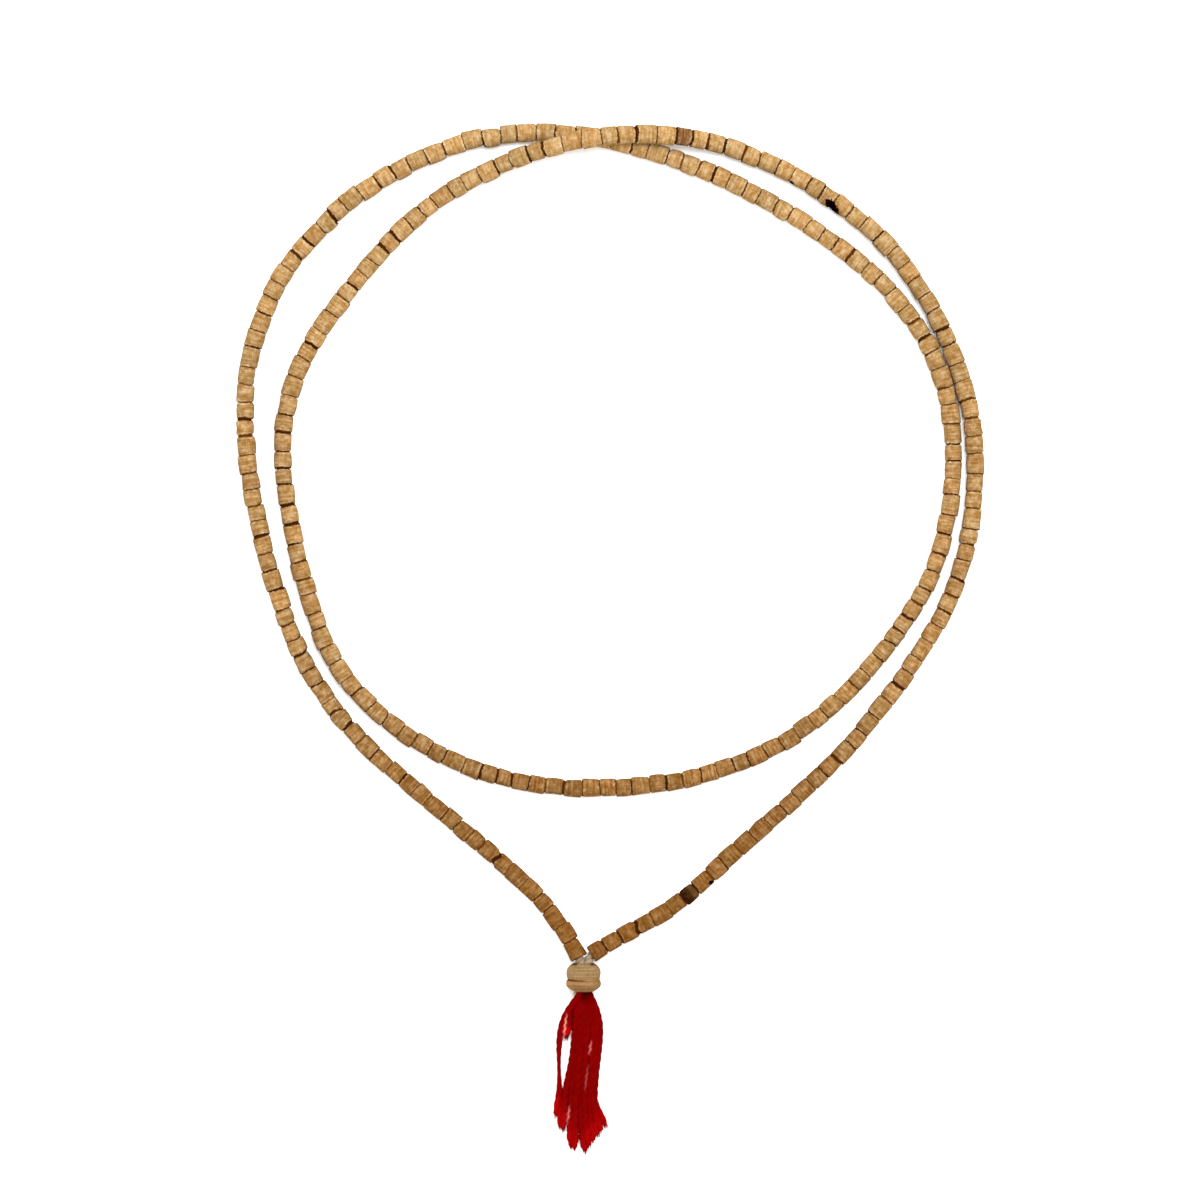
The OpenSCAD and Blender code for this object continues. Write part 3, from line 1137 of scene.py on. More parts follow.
@dataclass(frozen=True)
class Tassel:
    """The red tassel: twelve two-ply yarns that fall from the guru bead, with frayed ends and fuzz."""

    layout: StringLayout
    name: str = "twisted_yarn_tassel"
    node: str = "tassel"
    rows: int = 168
    ply_share: float = 0.42
    orbit_share: float = 0.09
    pitch: float = 4.9
    twist: Twist = Twist(sides=18, grooves=5, groove_depth=0.05)
    neck_y: float = -103.85
    rise_in_bead: float = 3.0
    drawn_in: float = 0.55
    fall_share: float = 0.35
    inside_rows: int = 8
    # Width down a yarn: where the tip starts, its swelling and what is left at its end, the neck's end
    # and what it loses, and the waist
    tip_start: float = 0.9
    tip_swell: float = 0.12
    tip_share: float = 0.55
    neck_end: float = 0.16
    neck_loss: float = 0.36
    waist_place: float = 0.64
    waist_reach: float = 0.3
    pitch_stray: Span = (0.92, 1.1)
    light_spread: float = 0.6
    grain_shift: float = 90.0
    # Painted light: yarns that lie apart on the left, by their x at the middle, are made brighter, as thin
    # yarns that the light shines through
    loose_beyond: float = -2.6
    loose_bright: float = 1.1
    # Painted light: yarns that end above this are made brighter, against the shade in the seam where they
    # lie
    short_tip_y: float = -120.0
    short_bright: float = 3.2
    # Painted light: how much brighter the outer yarns are made than the middle ones, to the millimetre, for
    # the shading across the tassel
    outer_bright: float = 0.25
    middle_yarn_x: float = -1.2
    # How far the pale slits lean and wave aside, and the waves' turn to the millimetre
    slit_lean: float = 0.13
    slit_wave: float = 0.12
    slit_turns: float = 3.4
    slit_fade: float = 1.6
    # Hairs: points and sides, spread of the curl, share of the thickness lost, and a direction that none has
    hair_rows: int = 6
    hair_sides: int = 3
    hair_curl: float = 0.14
    hair_thinning: float = 0.75
    hair_reference: tuple[float, float, float] = (0.13, 0.21, 1.0)
    # Frayed ends: hairs to a yarn, where they start down it and out from its line, lean, length, radius
    tuft_hairs: int = 44
    tuft_start: float = 0.93
    tuft_reach: Span = (0.05, 0.3)
    tuft_lean: Span = (-0.14, 0.06)
    tuft_length: Span = (0.8, 2.0)
    tuft_radius: float = 0.19
    # Fuzz: hairs in all, rows left bare at the neck and the tip, where they start, lean, length, radius
    fuzz_hairs: int = 900
    fuzz_bare: tuple[int, int] = (12, 4)
    fuzz_reach: float = 0.42
    fuzz_lean: Span = (0.9, 0.9)
    fuzz_length: Span = (0.4, 1.3)
    fuzz_radius: float = 0.022
    seed: int = 21

    def yarn_lines(self) -> np.ndarray:
        """Centre lines of the yarns, which rise a little way into the guru bead.

        The height falls by half a wave from the guru bead's middle to the resting height.

        Returns:
            Points as yarn, place and xyz.
        """
        share = YARN_STATIONS
        y = self.neck_y + share * (YARN_TIP_Y[:, None] - self.neck_y)
        x = self.layout.guru_x + YARN_X
        rest = YARN_HEIGHT[:, None]
        z = rest + (self.layout.guru_height - rest) * half_wave(share / self.fall_share)
        way = np.stack([x, y, z], axis=-1)
        places = np.linspace(0, len(share) - 1, self.rows)
        lines = np.stack([smooth_line(points, places) for points in way])
        climb = np.linspace(1, 0, self.inside_rows + 1)[:-1]
        inside = lines[:, :1] + climb[:, None] * np.array([0.0, self.rise_in_bead, 0.0])
        aside = (lines[:, :1, 0] - self.layout.guru_x) * (1 - self.drawn_in * climb)
        inside[..., 0] = self.layout.guru_x + aside
        return np.concatenate([inside, lines], axis=1)

    def plies(self) -> Shape:
        """Winds two grooved plies round each yarn's line, thinner in the bead's mouth and at the tip.

        Returns:
            The yarns as one shape.
        """
        draw = np.random.default_rng(self.seed)
        lines = self.yarn_lines()
        count = len(lines)
        steps = np.linalg.norm(np.diff(lines, axis=1), axis=2)
        run = np.concatenate([np.zeros((count, 1)), np.cumsum(steps, axis=1)], axis=1)
        share = run / run[:, -1:]
        tip = np.clip((share - self.tip_start) / (1 - self.tip_start), 0, 1)
        neck = np.clip(1 - share / self.neck_end, 0, 1)
        waist = half_wave(np.abs(share - self.waist_place) / self.waist_reach)
        width = YARN_WIDTH[:, None] + waist * (YARN_WAIST - YARN_WIDTH)[:, None]
        swell = self.tip_swell * np.sin(math.pi * tip)
        width = width * (1 + swell - (1 - self.tip_share) * tip**2 - self.neck_loss * neck)
        pitch = self.pitch * draw.uniform(*self.pitch_stray, (count, 1))
        phase = draw.uniform(0, FULL_TURN, (count, 1))
        # Painted light: loose, short and outer yarns made brighter
        bright = self.loose_bright * (YARN_MIDDLE_X < self.loose_beyond)
        bright = bright + self.short_bright * (YARN_TIP_Y > self.short_tip_y)
        bright = bright + self.outer_bright * np.abs(YARN_MIDDLE_X - self.middle_yarn_x)
        turns = run * FULL_TURN / pitch
        orbit, radius = self.orbit_share * width, self.ply_share * width
        shapes = []
        for half in (0.0, math.pi):
            centres, radii = self.twist.wound(lines, phase + half, turns, orbit, radius)
            shapes.append(tubes(centres, radii, UP, self.marks(run, radii, share, draw, bright)))
        return shapes[0].joined(shapes[1])

    def marks(
        self,
        run: np.ndarray,
        radii: np.ndarray,
        share: np.ndarray,
        draw: np.random.Generator,
        bright: np.ndarray | float = 0.0,
    ) -> dict[str, np.ndarray]:
        """Marks that the yarn reads.

        Args:
            run: Distance along each strand.
            radii: Radius as strand, place and angle.
            share: Place down the yarn.
            draw: Source of each strand's grain and lightness.
            bright: Further lightness of each strand, painted light.

        Returns:
            Place along and round the strand, lightness and place down the yarn.
        """
        wide = np.ones(radii.shape)
        shift = draw.uniform(-self.grain_shift, self.grain_shift, (len(run), 1, 1, 3))
        light = draw.normal(0, self.light_spread, len(run)) + bright
        return {
            "strand_place": strand_place(run, radii) + shift,
            "lightness": light[:, None, None] * wide,
            "fall": share[..., None] * wide,
        }

    def slits(self, points: np.ndarray) -> np.ndarray:
        """How much of a pale slit, painted light of a gap between yarns, each point shows: strength * fade *
        (1 - distance from its middle line).

        Args:
            points: Points of the tassel.

        Returns:
            Share from 0 to 1 for each point.
        """
        shown = np.zeros(len(points))
        for slit in Slit:
            x, y, half_width, half_length, strength = slit.value
            down = points[:, 1] - y
            line = x + self.slit_lean * down - self.slit_wave * np.sin(down * self.slit_turns)
            distance = np.hypot(down / half_length, (points[:, 0] - line) / half_width)
            shown = np.maximum(shown, strength * np.clip(self.slit_fade * (1 - distance), 0, 1))
        return shown

    def hairs(
        self,
        roots: np.ndarray,
        directions: np.ndarray,
        lengths: np.ndarray,
        radius: float,
        fall: np.ndarray,
        draw: np.random.Generator,
    ) -> Shape:
        """Grows thin curved hairs: root + direction * s + curl * s^2, thinning to a point.

        Args:
            roots: Where the hairs start.
            directions: Where they first point.
            lengths: How long they are.
            radius: Radius at the root.
            fall: Place down the yarn, for the mark.
            draw: Source of the curls.

        Returns:
            The hairs as one shape.
        """
        size = (len(roots), self.hair_rows)
        share = np.linspace(0, 1, self.hair_rows)[None, :, None]
        reach = lengths[:, None, None]
        curl = draw.normal(0, self.hair_curl, (len(roots), 1, 3)) * reach
        paths = roots[:, None] + unit(directions)[:, None] * share * reach + curl * share**2
        paths[..., 2] = np.maximum(paths[..., 2], radius)
        thickness = radius * (1 - self.hair_thinning * share)
        radii = np.broadcast_to(thickness, (*size, self.hair_sides))
        run = np.broadcast_to(share[..., 0] * lengths[:, None], size)
        down = np.broadcast_to(fall[:, None], size)
        return tubes(paths, radii, np.array(self.hair_reference), self.marks(run, radii, down, draw))

    def stands(
        self, yarn: np.ndarray, row: np.ndarray, draw: np.random.Generator
    ) -> tuple[np.ndarray, np.ndarray, np.ndarray]:
        """Places on the yarns' lines, with a direction out of each at a random turn.

        Args:
            yarn: Numbers of the yarns.
            row: Rows down them.
            draw: Source of the turns.

        Returns:
            Centres, directions along and directions out.
        """
        lines = self.yarn_lines()
        along = tangents(lines)[yarn, row]
        side, up = cross_axes(along, UP)
        turn = draw.uniform(0, FULL_TURN, len(yarn))
        out = np.cos(turn)[:, None] * side + np.sin(turn)[:, None] * up
        return lines[yarn, row], along, out

    def tufts(self) -> Shape:
        """Frays each yarn's end into hairs that start inside its last stretch and spread a little.

        Returns:
            The hairs as one shape.
        """
        draw = np.random.default_rng(self.seed + 1)
        rows = self.rows + self.inside_rows
        yarn = np.repeat(np.arange(len(YARNS)), self.tuft_hairs)
        row = draw.integers(int(rows * self.tuft_start), rows - 2, len(yarn))
        centre, along, out = self.stands(yarn, row, draw)
        reach = draw.uniform(*self.tuft_reach, len(yarn)) * YARN_WIDTH[yarn]
        directions = along + out * draw.uniform(*self.tuft_lean, (len(yarn), 1))
        lengths = draw.uniform(*self.tuft_length, len(yarn))
        roots = centre + out * reach[:, None]
        return self.hairs(roots, directions, lengths, self.tuft_radius, row / rows, draw)

    def fuzz(self) -> Shape:
        """Lifts short loose fibres from the whole length of the yarns.

        Returns:
            The fibres as one shape.
        """
        draw = np.random.default_rng(self.seed + 2)
        rows = self.rows + self.inside_rows
        first, last = self.fuzz_bare
        yarn = draw.integers(0, len(YARNS), self.fuzz_hairs)
        row = draw.integers(first, rows - last, self.fuzz_hairs)
        centre, along, out = self.stands(yarn, row, draw)
        roots = centre + out * (self.fuzz_reach * YARN_WIDTH[yarn])[:, None]
        directions = out + along * draw.normal(*self.fuzz_lean, (self.fuzz_hairs, 1))
        lengths = draw.uniform(*self.fuzz_length, self.fuzz_hairs)
        return self.hairs(roots, directions, lengths, self.fuzz_radius, row / rows, draw)

    def shape(self) -> Shape:
        """Joins the yarns, their frayed ends and the fuzz, and marks the slits of painted light.

        Returns:
            The tassel as one shape.
        """
        whole = self.plies().joined(self.tufts()).joined(self.fuzz())
        whole.marks["slit"] = self.slits(whole.points)
        return whole

    def build(self, finish: "DyedYarn") -> bpy.types.Object:
        """Makes the tassel's piece in its yarn."""
        return fit_piece(self.shape().to_object(self.name, finish.material()), self.node)


def fit_piece(piece: bpy.types.Object, node: str) -> bpy.types.Object:
    """Hangs a piece under the body and hides the node that it stands for.

    Args:
        piece: The finished object.
        node: The node that it stands for.

    Returns:
        The same object.
    """
    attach(piece, BODY)
    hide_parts(node)
    return piece


class NodeBench:
    """A node tree, with short calls that add nodes and join them."""

    def __init__(self, tree: bpy.types.NodeTree) -> None:
        """Takes the tree to work in."""
        self.tree = tree

    def add(self, kind: str, inputs: dict | None = None, **settings: object) -> bpy.types.Node:
        """Adds a node.

        Args:
            kind: Its type.
            inputs: Values or sockets for its inputs, by name or number.
            **settings: The node's own settings.

        Returns:
            The node.
        """
        node = self.tree.nodes.new(kind)
        for name, value in settings.items():
            setattr(node, name, value)
        for key, value in (inputs or {}).items():
            self.feed(node.inputs[key], value)
        return node

    def feed(self, socket: Socket, value: object) -> None:
        """Joins a socket to an input, or sets the input's own value.

        Args:
            socket: The input.
            value: A socket or a plain value.
        """
        if isinstance(value, Socket):
            self.tree.links.new(value, socket)
        else:
            socket.default_value = value

    def mark(self, name: str, output: str = "Fac") -> Socket:
        """Reads a point mark of the mesh."""
        return self.add("ShaderNodeAttribute", attribute_name=name).outputs[output]

    def math(self, operation: str, a: object, b: object) -> Socket:
        """Result of a sum on two values."""
        return self.add("ShaderNodeMath", {0: a, 1: b}, operation=operation).outputs[0]

    def plus(self, a: object, b: object) -> Socket:
        """Sum of two values."""
        return self.math("ADD", a, b)

    def minus(self, a: object, b: object) -> Socket:
        """Difference of two values."""
        return self.math("SUBTRACT", a, b)

    def times(self, a: object, b: object) -> Socket:
        """Product of two values."""
        return self.math("MULTIPLY", a, b)

    def remap(self, value: object, span: Span, to: Span = (0.0, 1.0)) -> Socket:
        """Value taken smoothly from one range to another and held at its ends."""
        inputs = {"Value": value, "From Min": span[0], "From Max": span[1], "To Min": to[0], "To Max": to[1]}
        return self.add("ShaderNodeMapRange", inputs, interpolation_type="SMOOTHSTEP").outputs["Result"]

    def mix(self, share: object, a: object, b: object, blend: str = "MIX") -> Socket:
        """Colour between two colours."""
        # A colour mix takes its colours at inputs 6 and 7 and gives its result at output 2
        node = self.add("ShaderNodeMix", {0: share, 6: a, 7: b}, data_type="RGBA", blend_type=blend)
        return node.outputs[2]

    def group(self, tree: bpy.types.NodeTree, **inputs: object) -> Socket:
        """Places a shared effect and returns its output."""
        return self.add("ShaderNodeGroup", inputs, node_tree=tree).outputs[0]

    def grain(self, place: object, scale: Span, levels: Span) -> Socket:
        """Mask of stretched noise.

        Args:
            place: Place in the bead or strand, in millimetres.
            scale: Lumps to the millimetre along and across.
            levels: Noise that reads as 0 and as 1.

        Returns:
            The mask.
        """
        along, across = scale
        low, high = levels
        return self.group(stretched_grain(), Place=place, Along=along, Across=across, Low=low, High=high)

    def tinted(self, base: object, mask: object, tints: Tints) -> Socket:
        """Colour multiplied by the first tint where a mask is 0 and by the second where it is 1."""
        dark, light = (colour(*tint) for tint in tints)
        return self.group(two_tone(), Colour=base, Mask=mask, Dark=dark, Light=light)

    def brightened(self, base: object, step: float) -> Socket:
        """Colour made lighter by a step for each unit of the mesh's lightness mark.

        Args:
            base: Colour so far.
            step: Share that a unit adds.

        Returns:
            The new colour.
        """
        light = self.plus(self.times(self.mark("lightness"), step), 1.0)
        grey = self.add("ShaderNodeCombineXYZ", {0: light, 1: light, 2: light}).outputs[0]
        return self.mix(1.0, base, grey, "MULTIPLY")


def colour(red: float, green: float, blue: float) -> Colour:
    """Linear colour with full alpha."""
    return (red, green, blue, 1.0)


def new_group(
    name: str, inputs: dict[str, str], output: tuple[str, str]
) -> tuple[NodeBench, dict[str, Socket], bpy.types.Node]:
    """Starts a shader node group.

    Args:
        name: Its name.
        inputs: Type of each input socket by name.
        output: Name and type of the output socket.

    Returns:
        The bench of its tree, its input sockets by name, and its output node.
    """
    tree = bpy.data.node_groups.new(name, "ShaderNodeTree")
    for socket, kind in inputs.items():
        tree.interface.new_socket(socket, in_out="INPUT", socket_type=kind)
    tree.interface.new_socket(output[0], in_out="OUTPUT", socket_type=output[1])
    bench = NodeBench(tree)
    entry = bench.add("NodeGroupInput")
    return bench, {socket: entry.outputs[socket] for socket in inputs}, bench.add("NodeGroupOutput")


@cache
def stretched_grain() -> bpy.types.NodeTree:
    """Mask of noise that is stretched along or across a bead or strand.

    Returns:
        The group, built once.
    """
    kinds = {"Place": "NodeSocketVector"}
    kinds.update({socket: "NodeSocketFloat" for socket in ("Along", "Across", "Low", "High")})
    bench, given, result = new_group("stretched grain", kinds, ("Mask", "NodeSocketFloat"))
    axes = {"X": given["Along"], "Y": given["Across"], "Z": given["Across"]}
    factors = {0: given["Place"], 1: bench.add("ShaderNodeCombineXYZ", axes).outputs[0]}
    place = bench.add("ShaderNodeVectorMath", factors, operation="MULTIPLY").outputs[0]
    settings = {"Vector": place, "Scale": 1.0, "Detail": 3.0, "Roughness": 0.6}
    noise = bench.add("ShaderNodeTexNoise", settings).outputs["Fac"]
    bench.feed(result.inputs[0], bench.remap(noise, (given["Low"], given["High"])))
    return bench.tree


@cache
def two_tone() -> bpy.types.NodeTree:
    """Colour multiplied by one tint where a mask is 0 and by another where it is 1.

    Returns:
        The group, built once.
    """
    kinds = dict.fromkeys(("Colour", "Mask", "Dark", "Light"), "NodeSocketColor")
    kinds["Mask"] = "NodeSocketFloat"
    bench, given, result = new_group("two tone", kinds, ("Colour", "NodeSocketColor"))
    tint = bench.mix(given["Mask"], given["Dark"], given["Light"])
    bench.feed(result.inputs[0], bench.mix(1.0, given["Colour"], tint, "MULTIPLY"))
    return bench.tree


@dataclass(frozen=True, kw_only=True)
class Finish:
    """What the finishes share: one Principled material with a colour and a fine relief."""

    name: str
    roughness: float
    sheen: float = 0.0
    relief: float = 0.00006
    relief_strength: float = 1.0

    def dress(self, bench: NodeBench) -> tuple[Socket, Socket | None]:
        """Colour and height of the surface, which each finish has of its own."""
        raise NotImplementedError

    def material(self) -> bpy.types.Material:
        """Builds the material.

        Returns:
            The material, with the finish's colour and relief joined to its Principled node.
        """
        material = bpy.data.materials.new(self.name)
        material.use_nodes = True
        bench = NodeBench(material.node_tree)
        shader = material.node_tree.nodes["Principled BSDF"]
        shader.inputs["Roughness"].default_value = self.roughness
        shader.inputs["Specular IOR Level"].default_value = self.sheen
        base, height = self.dress(bench)
        bench.feed(shader.inputs["Base Color"], base)
        if height is not None:
            relief = {"Height": height, "Strength": self.relief_strength, "Distance": self.relief}
            bench.feed(shader.inputs["Normal"], bench.add("ShaderNodeBump", relief).outputs[0])
        return material


class WoodGrain(Enum):
    """Grains of the wood: lumps to the millimetre along and across the bead, and their levels."""

    WANDER = ((0.3, 1.5), (0.3, 0.7))
    MOTTLE = ((0.55, 0.55), (0.34, 0.66))
    BLOTCH = ((1.1, 0.9), (0.36, 0.64))
    FIBRE = ((0.5, 2.4), (0.36, 0.64))
    SPECKLE = ((2.6, 2.6), (0.34, 0.66))
    PORE = ((0.9, 3.0), (0.6, 0.74))
    BREAKS = ((0.3, 0.8), (0.45, 0.62))
    TEAR = ((2.2, 1.2), (0.3, 0.7))


@dataclass(frozen=True, kw_only=True)
class TurnedWood(Finish):
    """Bare turned wood: mottled, with turning lines round it, fibres along it and soiled end faces."""

    brown: Colour
    pale: Colour
    # Soil of the most and the least soiled joints, how much soil makes them, and how far it reaches
    # up the side in millimetres, also where the bead is stained, and how it ends
    face: Colour = colour(0.03, 0.008, 0.0014)
    worn: Colour = colour(0.105, 0.035, 0.0035)
    soil_levels: Span = (0.3, 1.05)
    soil_reach: Span = (0.092, 0.205)
    stain_reach: float = 0.06
    soil_end: Span = (0.06, -0.14)
    # Half breadth of the wander of a joint's dark line, in millimetres
    ragged: float = 0.11
    # Painted highlight beside the soil, a paler band where the rims catch the light: its tint and strength,
    # and where it starts and ends from the rim, in millimetres
    rim_highlight_tint: Colour = colour(1.35, 1.52, 1.95)
    rim_highlight_strength: float = 0.9
    rim_start: Span = (0.15, 0.3)
    rim_end: Span = (0.75, 0.4)
    roughness: float = 0.62
    relief_strength: float = 0.6
    lightness_step: float = 0.05
    hue_tints: Tints = ((1.02, 0.98, 0.94), (0.97, 1.01, 1.03))
    # How far the mottling moves the wood between its two browns
    patchiness: float = 0.1
    mottle_strength: float = 1.0
    mottle_tints: Tints = ((0.88, 0.8, 0.62), (1.09, 1.13, 1.24))
    blotch_tints: Tints = ((0.92, 0.86, 0.74), (1.06, 1.09, 1.17))
    turning_strength: float = 0.54
    turning_tints: Tints = ((0.66, 0.54, 0.34), (1.19, 1.26, 1.44))
    fibre_tints: Tints = ((0.84, 0.78, 0.64), (1.1, 1.14, 1.25))
    speckle_tints: Tints = ((0.86, 0.82, 0.72), (1.08, 1.1, 1.17))
    # Turning lines to the millimetre along the bead, and how fast they change round it
    turning_scale: Span = (1.6, 0.16)
    turning_levels: Span = (0.36, 0.64)
    pore_strength: float = 0.35
    # Stains are black on the brown wood and red on the pale, where the turning and blotches streak them
    red_stain: Colour = colour(0.08, 0.028, 0.0095)
    black_stain: Colour = colour(0.0095, 0.0021, 0.0002)
    red_levels: Span = (0.3, 0.7)
    # Levels of the mask, and what they leave of the stain
    turning_streaks: tuple[Span, Span] = ((0.2, 1.0), (1.0, 0.72))
    blotch_streaks: tuple[Span, Span] = ((0.4, 1.0), (1.0, 0.88))
    black_patches: tuple[Span, Span] = ((0.2, 1.0), (1.0, 0.94))
    # Knots: how far their edge is torn, where it ends, and the brown halo round them
    knot: Colour = colour(0.002, 0.0007, 0.0003)
    tear: float = 0.18
    knot_edge: Span = (1.05, 0.92)
    halo_edge: Span = (1.9, 1.2)
    halo_specks: Span = (0.7, 0.2)
    halo_strength: float = 0.6
    # Height of the turning, the fibres and the mottling
    heights: tuple[float, float, float] = (0.6, 0.4, 0.8)

    def browns(self, bench: NodeBench, masks: Masks) -> Socket:
        """Wood between its two browns by the paleness mark, which on the small beads carries painted light,
        with each bead's own lightness and hue.

        Args:
            bench: The material's bench.
            masks: The wood's masks.

        Returns:
            The colour.
        """
        patches = bench.plus(bench.minus(masks["MOTTLE"], 0.5), bench.minus(masks["TURNING"], 0.5))
        paleness = bench.plus(bench.mark("paleness"), bench.times(patches, self.patchiness))
        base = bench.mix(bench.remap(paleness, (0.0, 1.0)), self.brown, self.pale)
        base = bench.brightened(base, self.lightness_step)
        return bench.tinted(base, bench.mark("hue"), self.hue_tints)

    def stained(self, bench: NodeBench, base: Socket, masks: Masks) -> Socket:
        """Wood under the stain mark: black on brown wood, and streaked red-brown on pale wood.

        Args:
            bench: The material's bench.
            base: Colour so far.
            masks: The wood's masks.

        Returns:
            The new colour.
        """
        red = bench.remap(bench.mark("paleness"), self.red_levels)
        turned = bench.remap(masks["TURNING"], *self.turning_streaks)
        streaks = bench.times(turned, bench.remap(masks["BLOTCH"], *self.blotch_streaks))
        patches = bench.remap(masks["BLOTCH"], *self.black_patches)
        share = bench.times(bench.mark("stain"), bench.mix(red, patches, streaks))
        return bench.mix(share, base, bench.mix(red, self.black_stain, self.red_stain))

    def grained(self, bench: NodeBench, base: Socket, masks: Masks) -> Socket:
        """Wood with the tints of its grains, each at its strength, and its dark pores.

        Args:
            bench: The material's bench.
            base: Colour so far.
            masks: The wood's masks.

        Returns:
            The new colour.
        """
        for name, strength, tints in (
            ("MOTTLE", self.mottle_strength, self.mottle_tints),
            ("BLOTCH", self.mottle_strength, self.blotch_tints),
            ("TURNING", self.turning_strength, self.turning_tints),
            ("FIBRE", self.turning_strength, self.fibre_tints),
            ("SPECKLE", self.turning_strength, self.speckle_tints),
        ):
            eased = [[1 + strength * (part - 1) for part in tint] for tint in tints]
            base = bench.tinted(base, masks[name], eased)
        return bench.mix(bench.times(masks["PORE"], self.pore_strength), base, self.face)

    def soiled(self, bench: NodeBench, base: Socket, masks: Masks) -> Socket:
        """Wood with a broken band of painted highlight near its rims, and with soiled rims and end faces.

        Args:
            bench: The material's bench.
            base: Colour so far.
            masks: The wood's masks.

        Returns:
            The new colour.
        """
        wander = bench.remap(masks["WANDER"], (0.0, 1.0), (-self.ragged, self.ragged))
        rim = bench.plus(bench.mark("rim_distance"), wander)
        # Painted highlight: a broken pale band where the rounded rims catch the light
        band = bench.times(bench.remap(rim, self.rim_start), bench.remap(rim, self.rim_end))
        share = bench.times(bench.times(band, masks["BREAKS"]), self.rim_highlight_strength)
        base = bench.mix(share, base, bench.mix(1.0, base, self.rim_highlight_tint, "MULTIPLY"))
        soil = bench.mark("soil")
        reach = bench.remap(soil, (0.0, 1.0), self.soil_reach)
        reach = bench.plus(reach, bench.times(bench.mark("stain"), self.stain_reach))
        depth = bench.remap(bench.minus(rim, reach), self.soil_end)
        return bench.mix(depth, base, bench.mix(bench.remap(soil, self.soil_levels), self.worn, self.face))

    def knotted(self, bench: NodeBench, base: Socket, masks: Masks) -> Socket:
        """Wood with black knots, whose edge is torn, and a brown halo round each.

        Args:
            bench: The material's bench.
            base: Colour so far.
            masks: The wood's masks.

        Returns:
            The new colour.
        """
        place = bench.mark("knot_place", "Vector")
        torn = bench.grain(place, *WoodGrain.TEAR.value)
        torn = bench.remap(torn, (0.0, 1.0), (-self.tear, self.tear))
        distance = bench.add("ShaderNodeVectorMath", {0: place}, operation="LENGTH").outputs["Value"]
        distance = bench.plus(distance, torn)
        specks = bench.remap(masks["SPECKLE"], self.halo_specks)
        halo = bench.times(bench.remap(distance, self.halo_edge), specks)
        base = bench.mix(bench.times(halo, self.halo_strength), base, self.worn)
        return bench.mix(bench.remap(distance, self.knot_edge), base, self.knot)

    def dress(self, bench: NodeBench) -> tuple[Socket, Socket]:
        """Lays the browns, which carry painted light, the stains, grains, soil with its painted rim
        highlight, and knots over each other.

        Args:
            bench: The material's bench.

        Returns:
            Colour and height.
        """
        place = bench.mark("bead_place", "Vector")
        kinds = [kind for kind in WoodGrain if kind is not WoodGrain.TEAR]
        masks = {kind.name: bench.grain(place, *kind.value) for kind in kinds}
        masks["TURNING"] = bench.grain(place, self.turning_scale, self.turning_levels)
        base = self.browns(bench, masks)
        for layer in (self.stained, self.grained, self.soiled, self.knotted):
            base = layer(bench, base, masks)
        turning, fibre, mottle = self.heights
        height = bench.plus(bench.times(masks["TURNING"], turning), bench.times(masks["FIBRE"], fibre))
        return base, bench.plus(height, bench.times(masks["MOTTLE"], mottle))


@dataclass(frozen=True, kw_only=True)
class Cotton(Finish):
    """White cotton plies with fine fibres, soiled brown where the beads rub them; the near-black core inside
    the beads is partly soil and partly painted shade of the joint gaps.
    """

    name: str = "white cotton"
    # Beige-grey rather than white: the cotton's own off-white darkened further by painted shade
    white: Colour = colour(0.245, 0.19, 0.131)
    # Near-black of the core: partly soil, partly painted shade of the gaps between beads where it shows
    soiled: Colour = colour(0.03, 0.011, 0.004)
    fibre_scale: Span = (1.2, 7.0)
    fibre_tints: Tints = ((0.86, 0.83, 0.8), (1.08, 1.08, 1.08))
    patch_scale: Span = (0.7, 0.7)
    patch_tints: Tints = ((0.9, 0.86, 0.82), (1.05, 1.05, 1.05))
    levels: Span = (0.36, 0.64)
    roughness: float = 0.85
    sheen: float = 0.2
    relief: float = 0.00005
    relief_strength: float = 0.5

    def dress(self, bench: NodeBench) -> tuple[Socket, Socket]:
        """Soiled white, tinted by fibres and patches; the fibres are its height.

        Args:
            bench: The material's bench.

        Returns:
            Colour and height.
        """
        place = bench.mark("strand_place", "Vector")
        fibre = bench.grain(place, self.fibre_scale, self.levels)
        patch = bench.grain(place, self.patch_scale, self.levels)
        base = bench.mix(bench.mark("soil"), self.white, self.soiled)
        base = bench.tinted(base, fibre, self.fibre_tints)
        return bench.tinted(base, patch, self.patch_tints), fibre


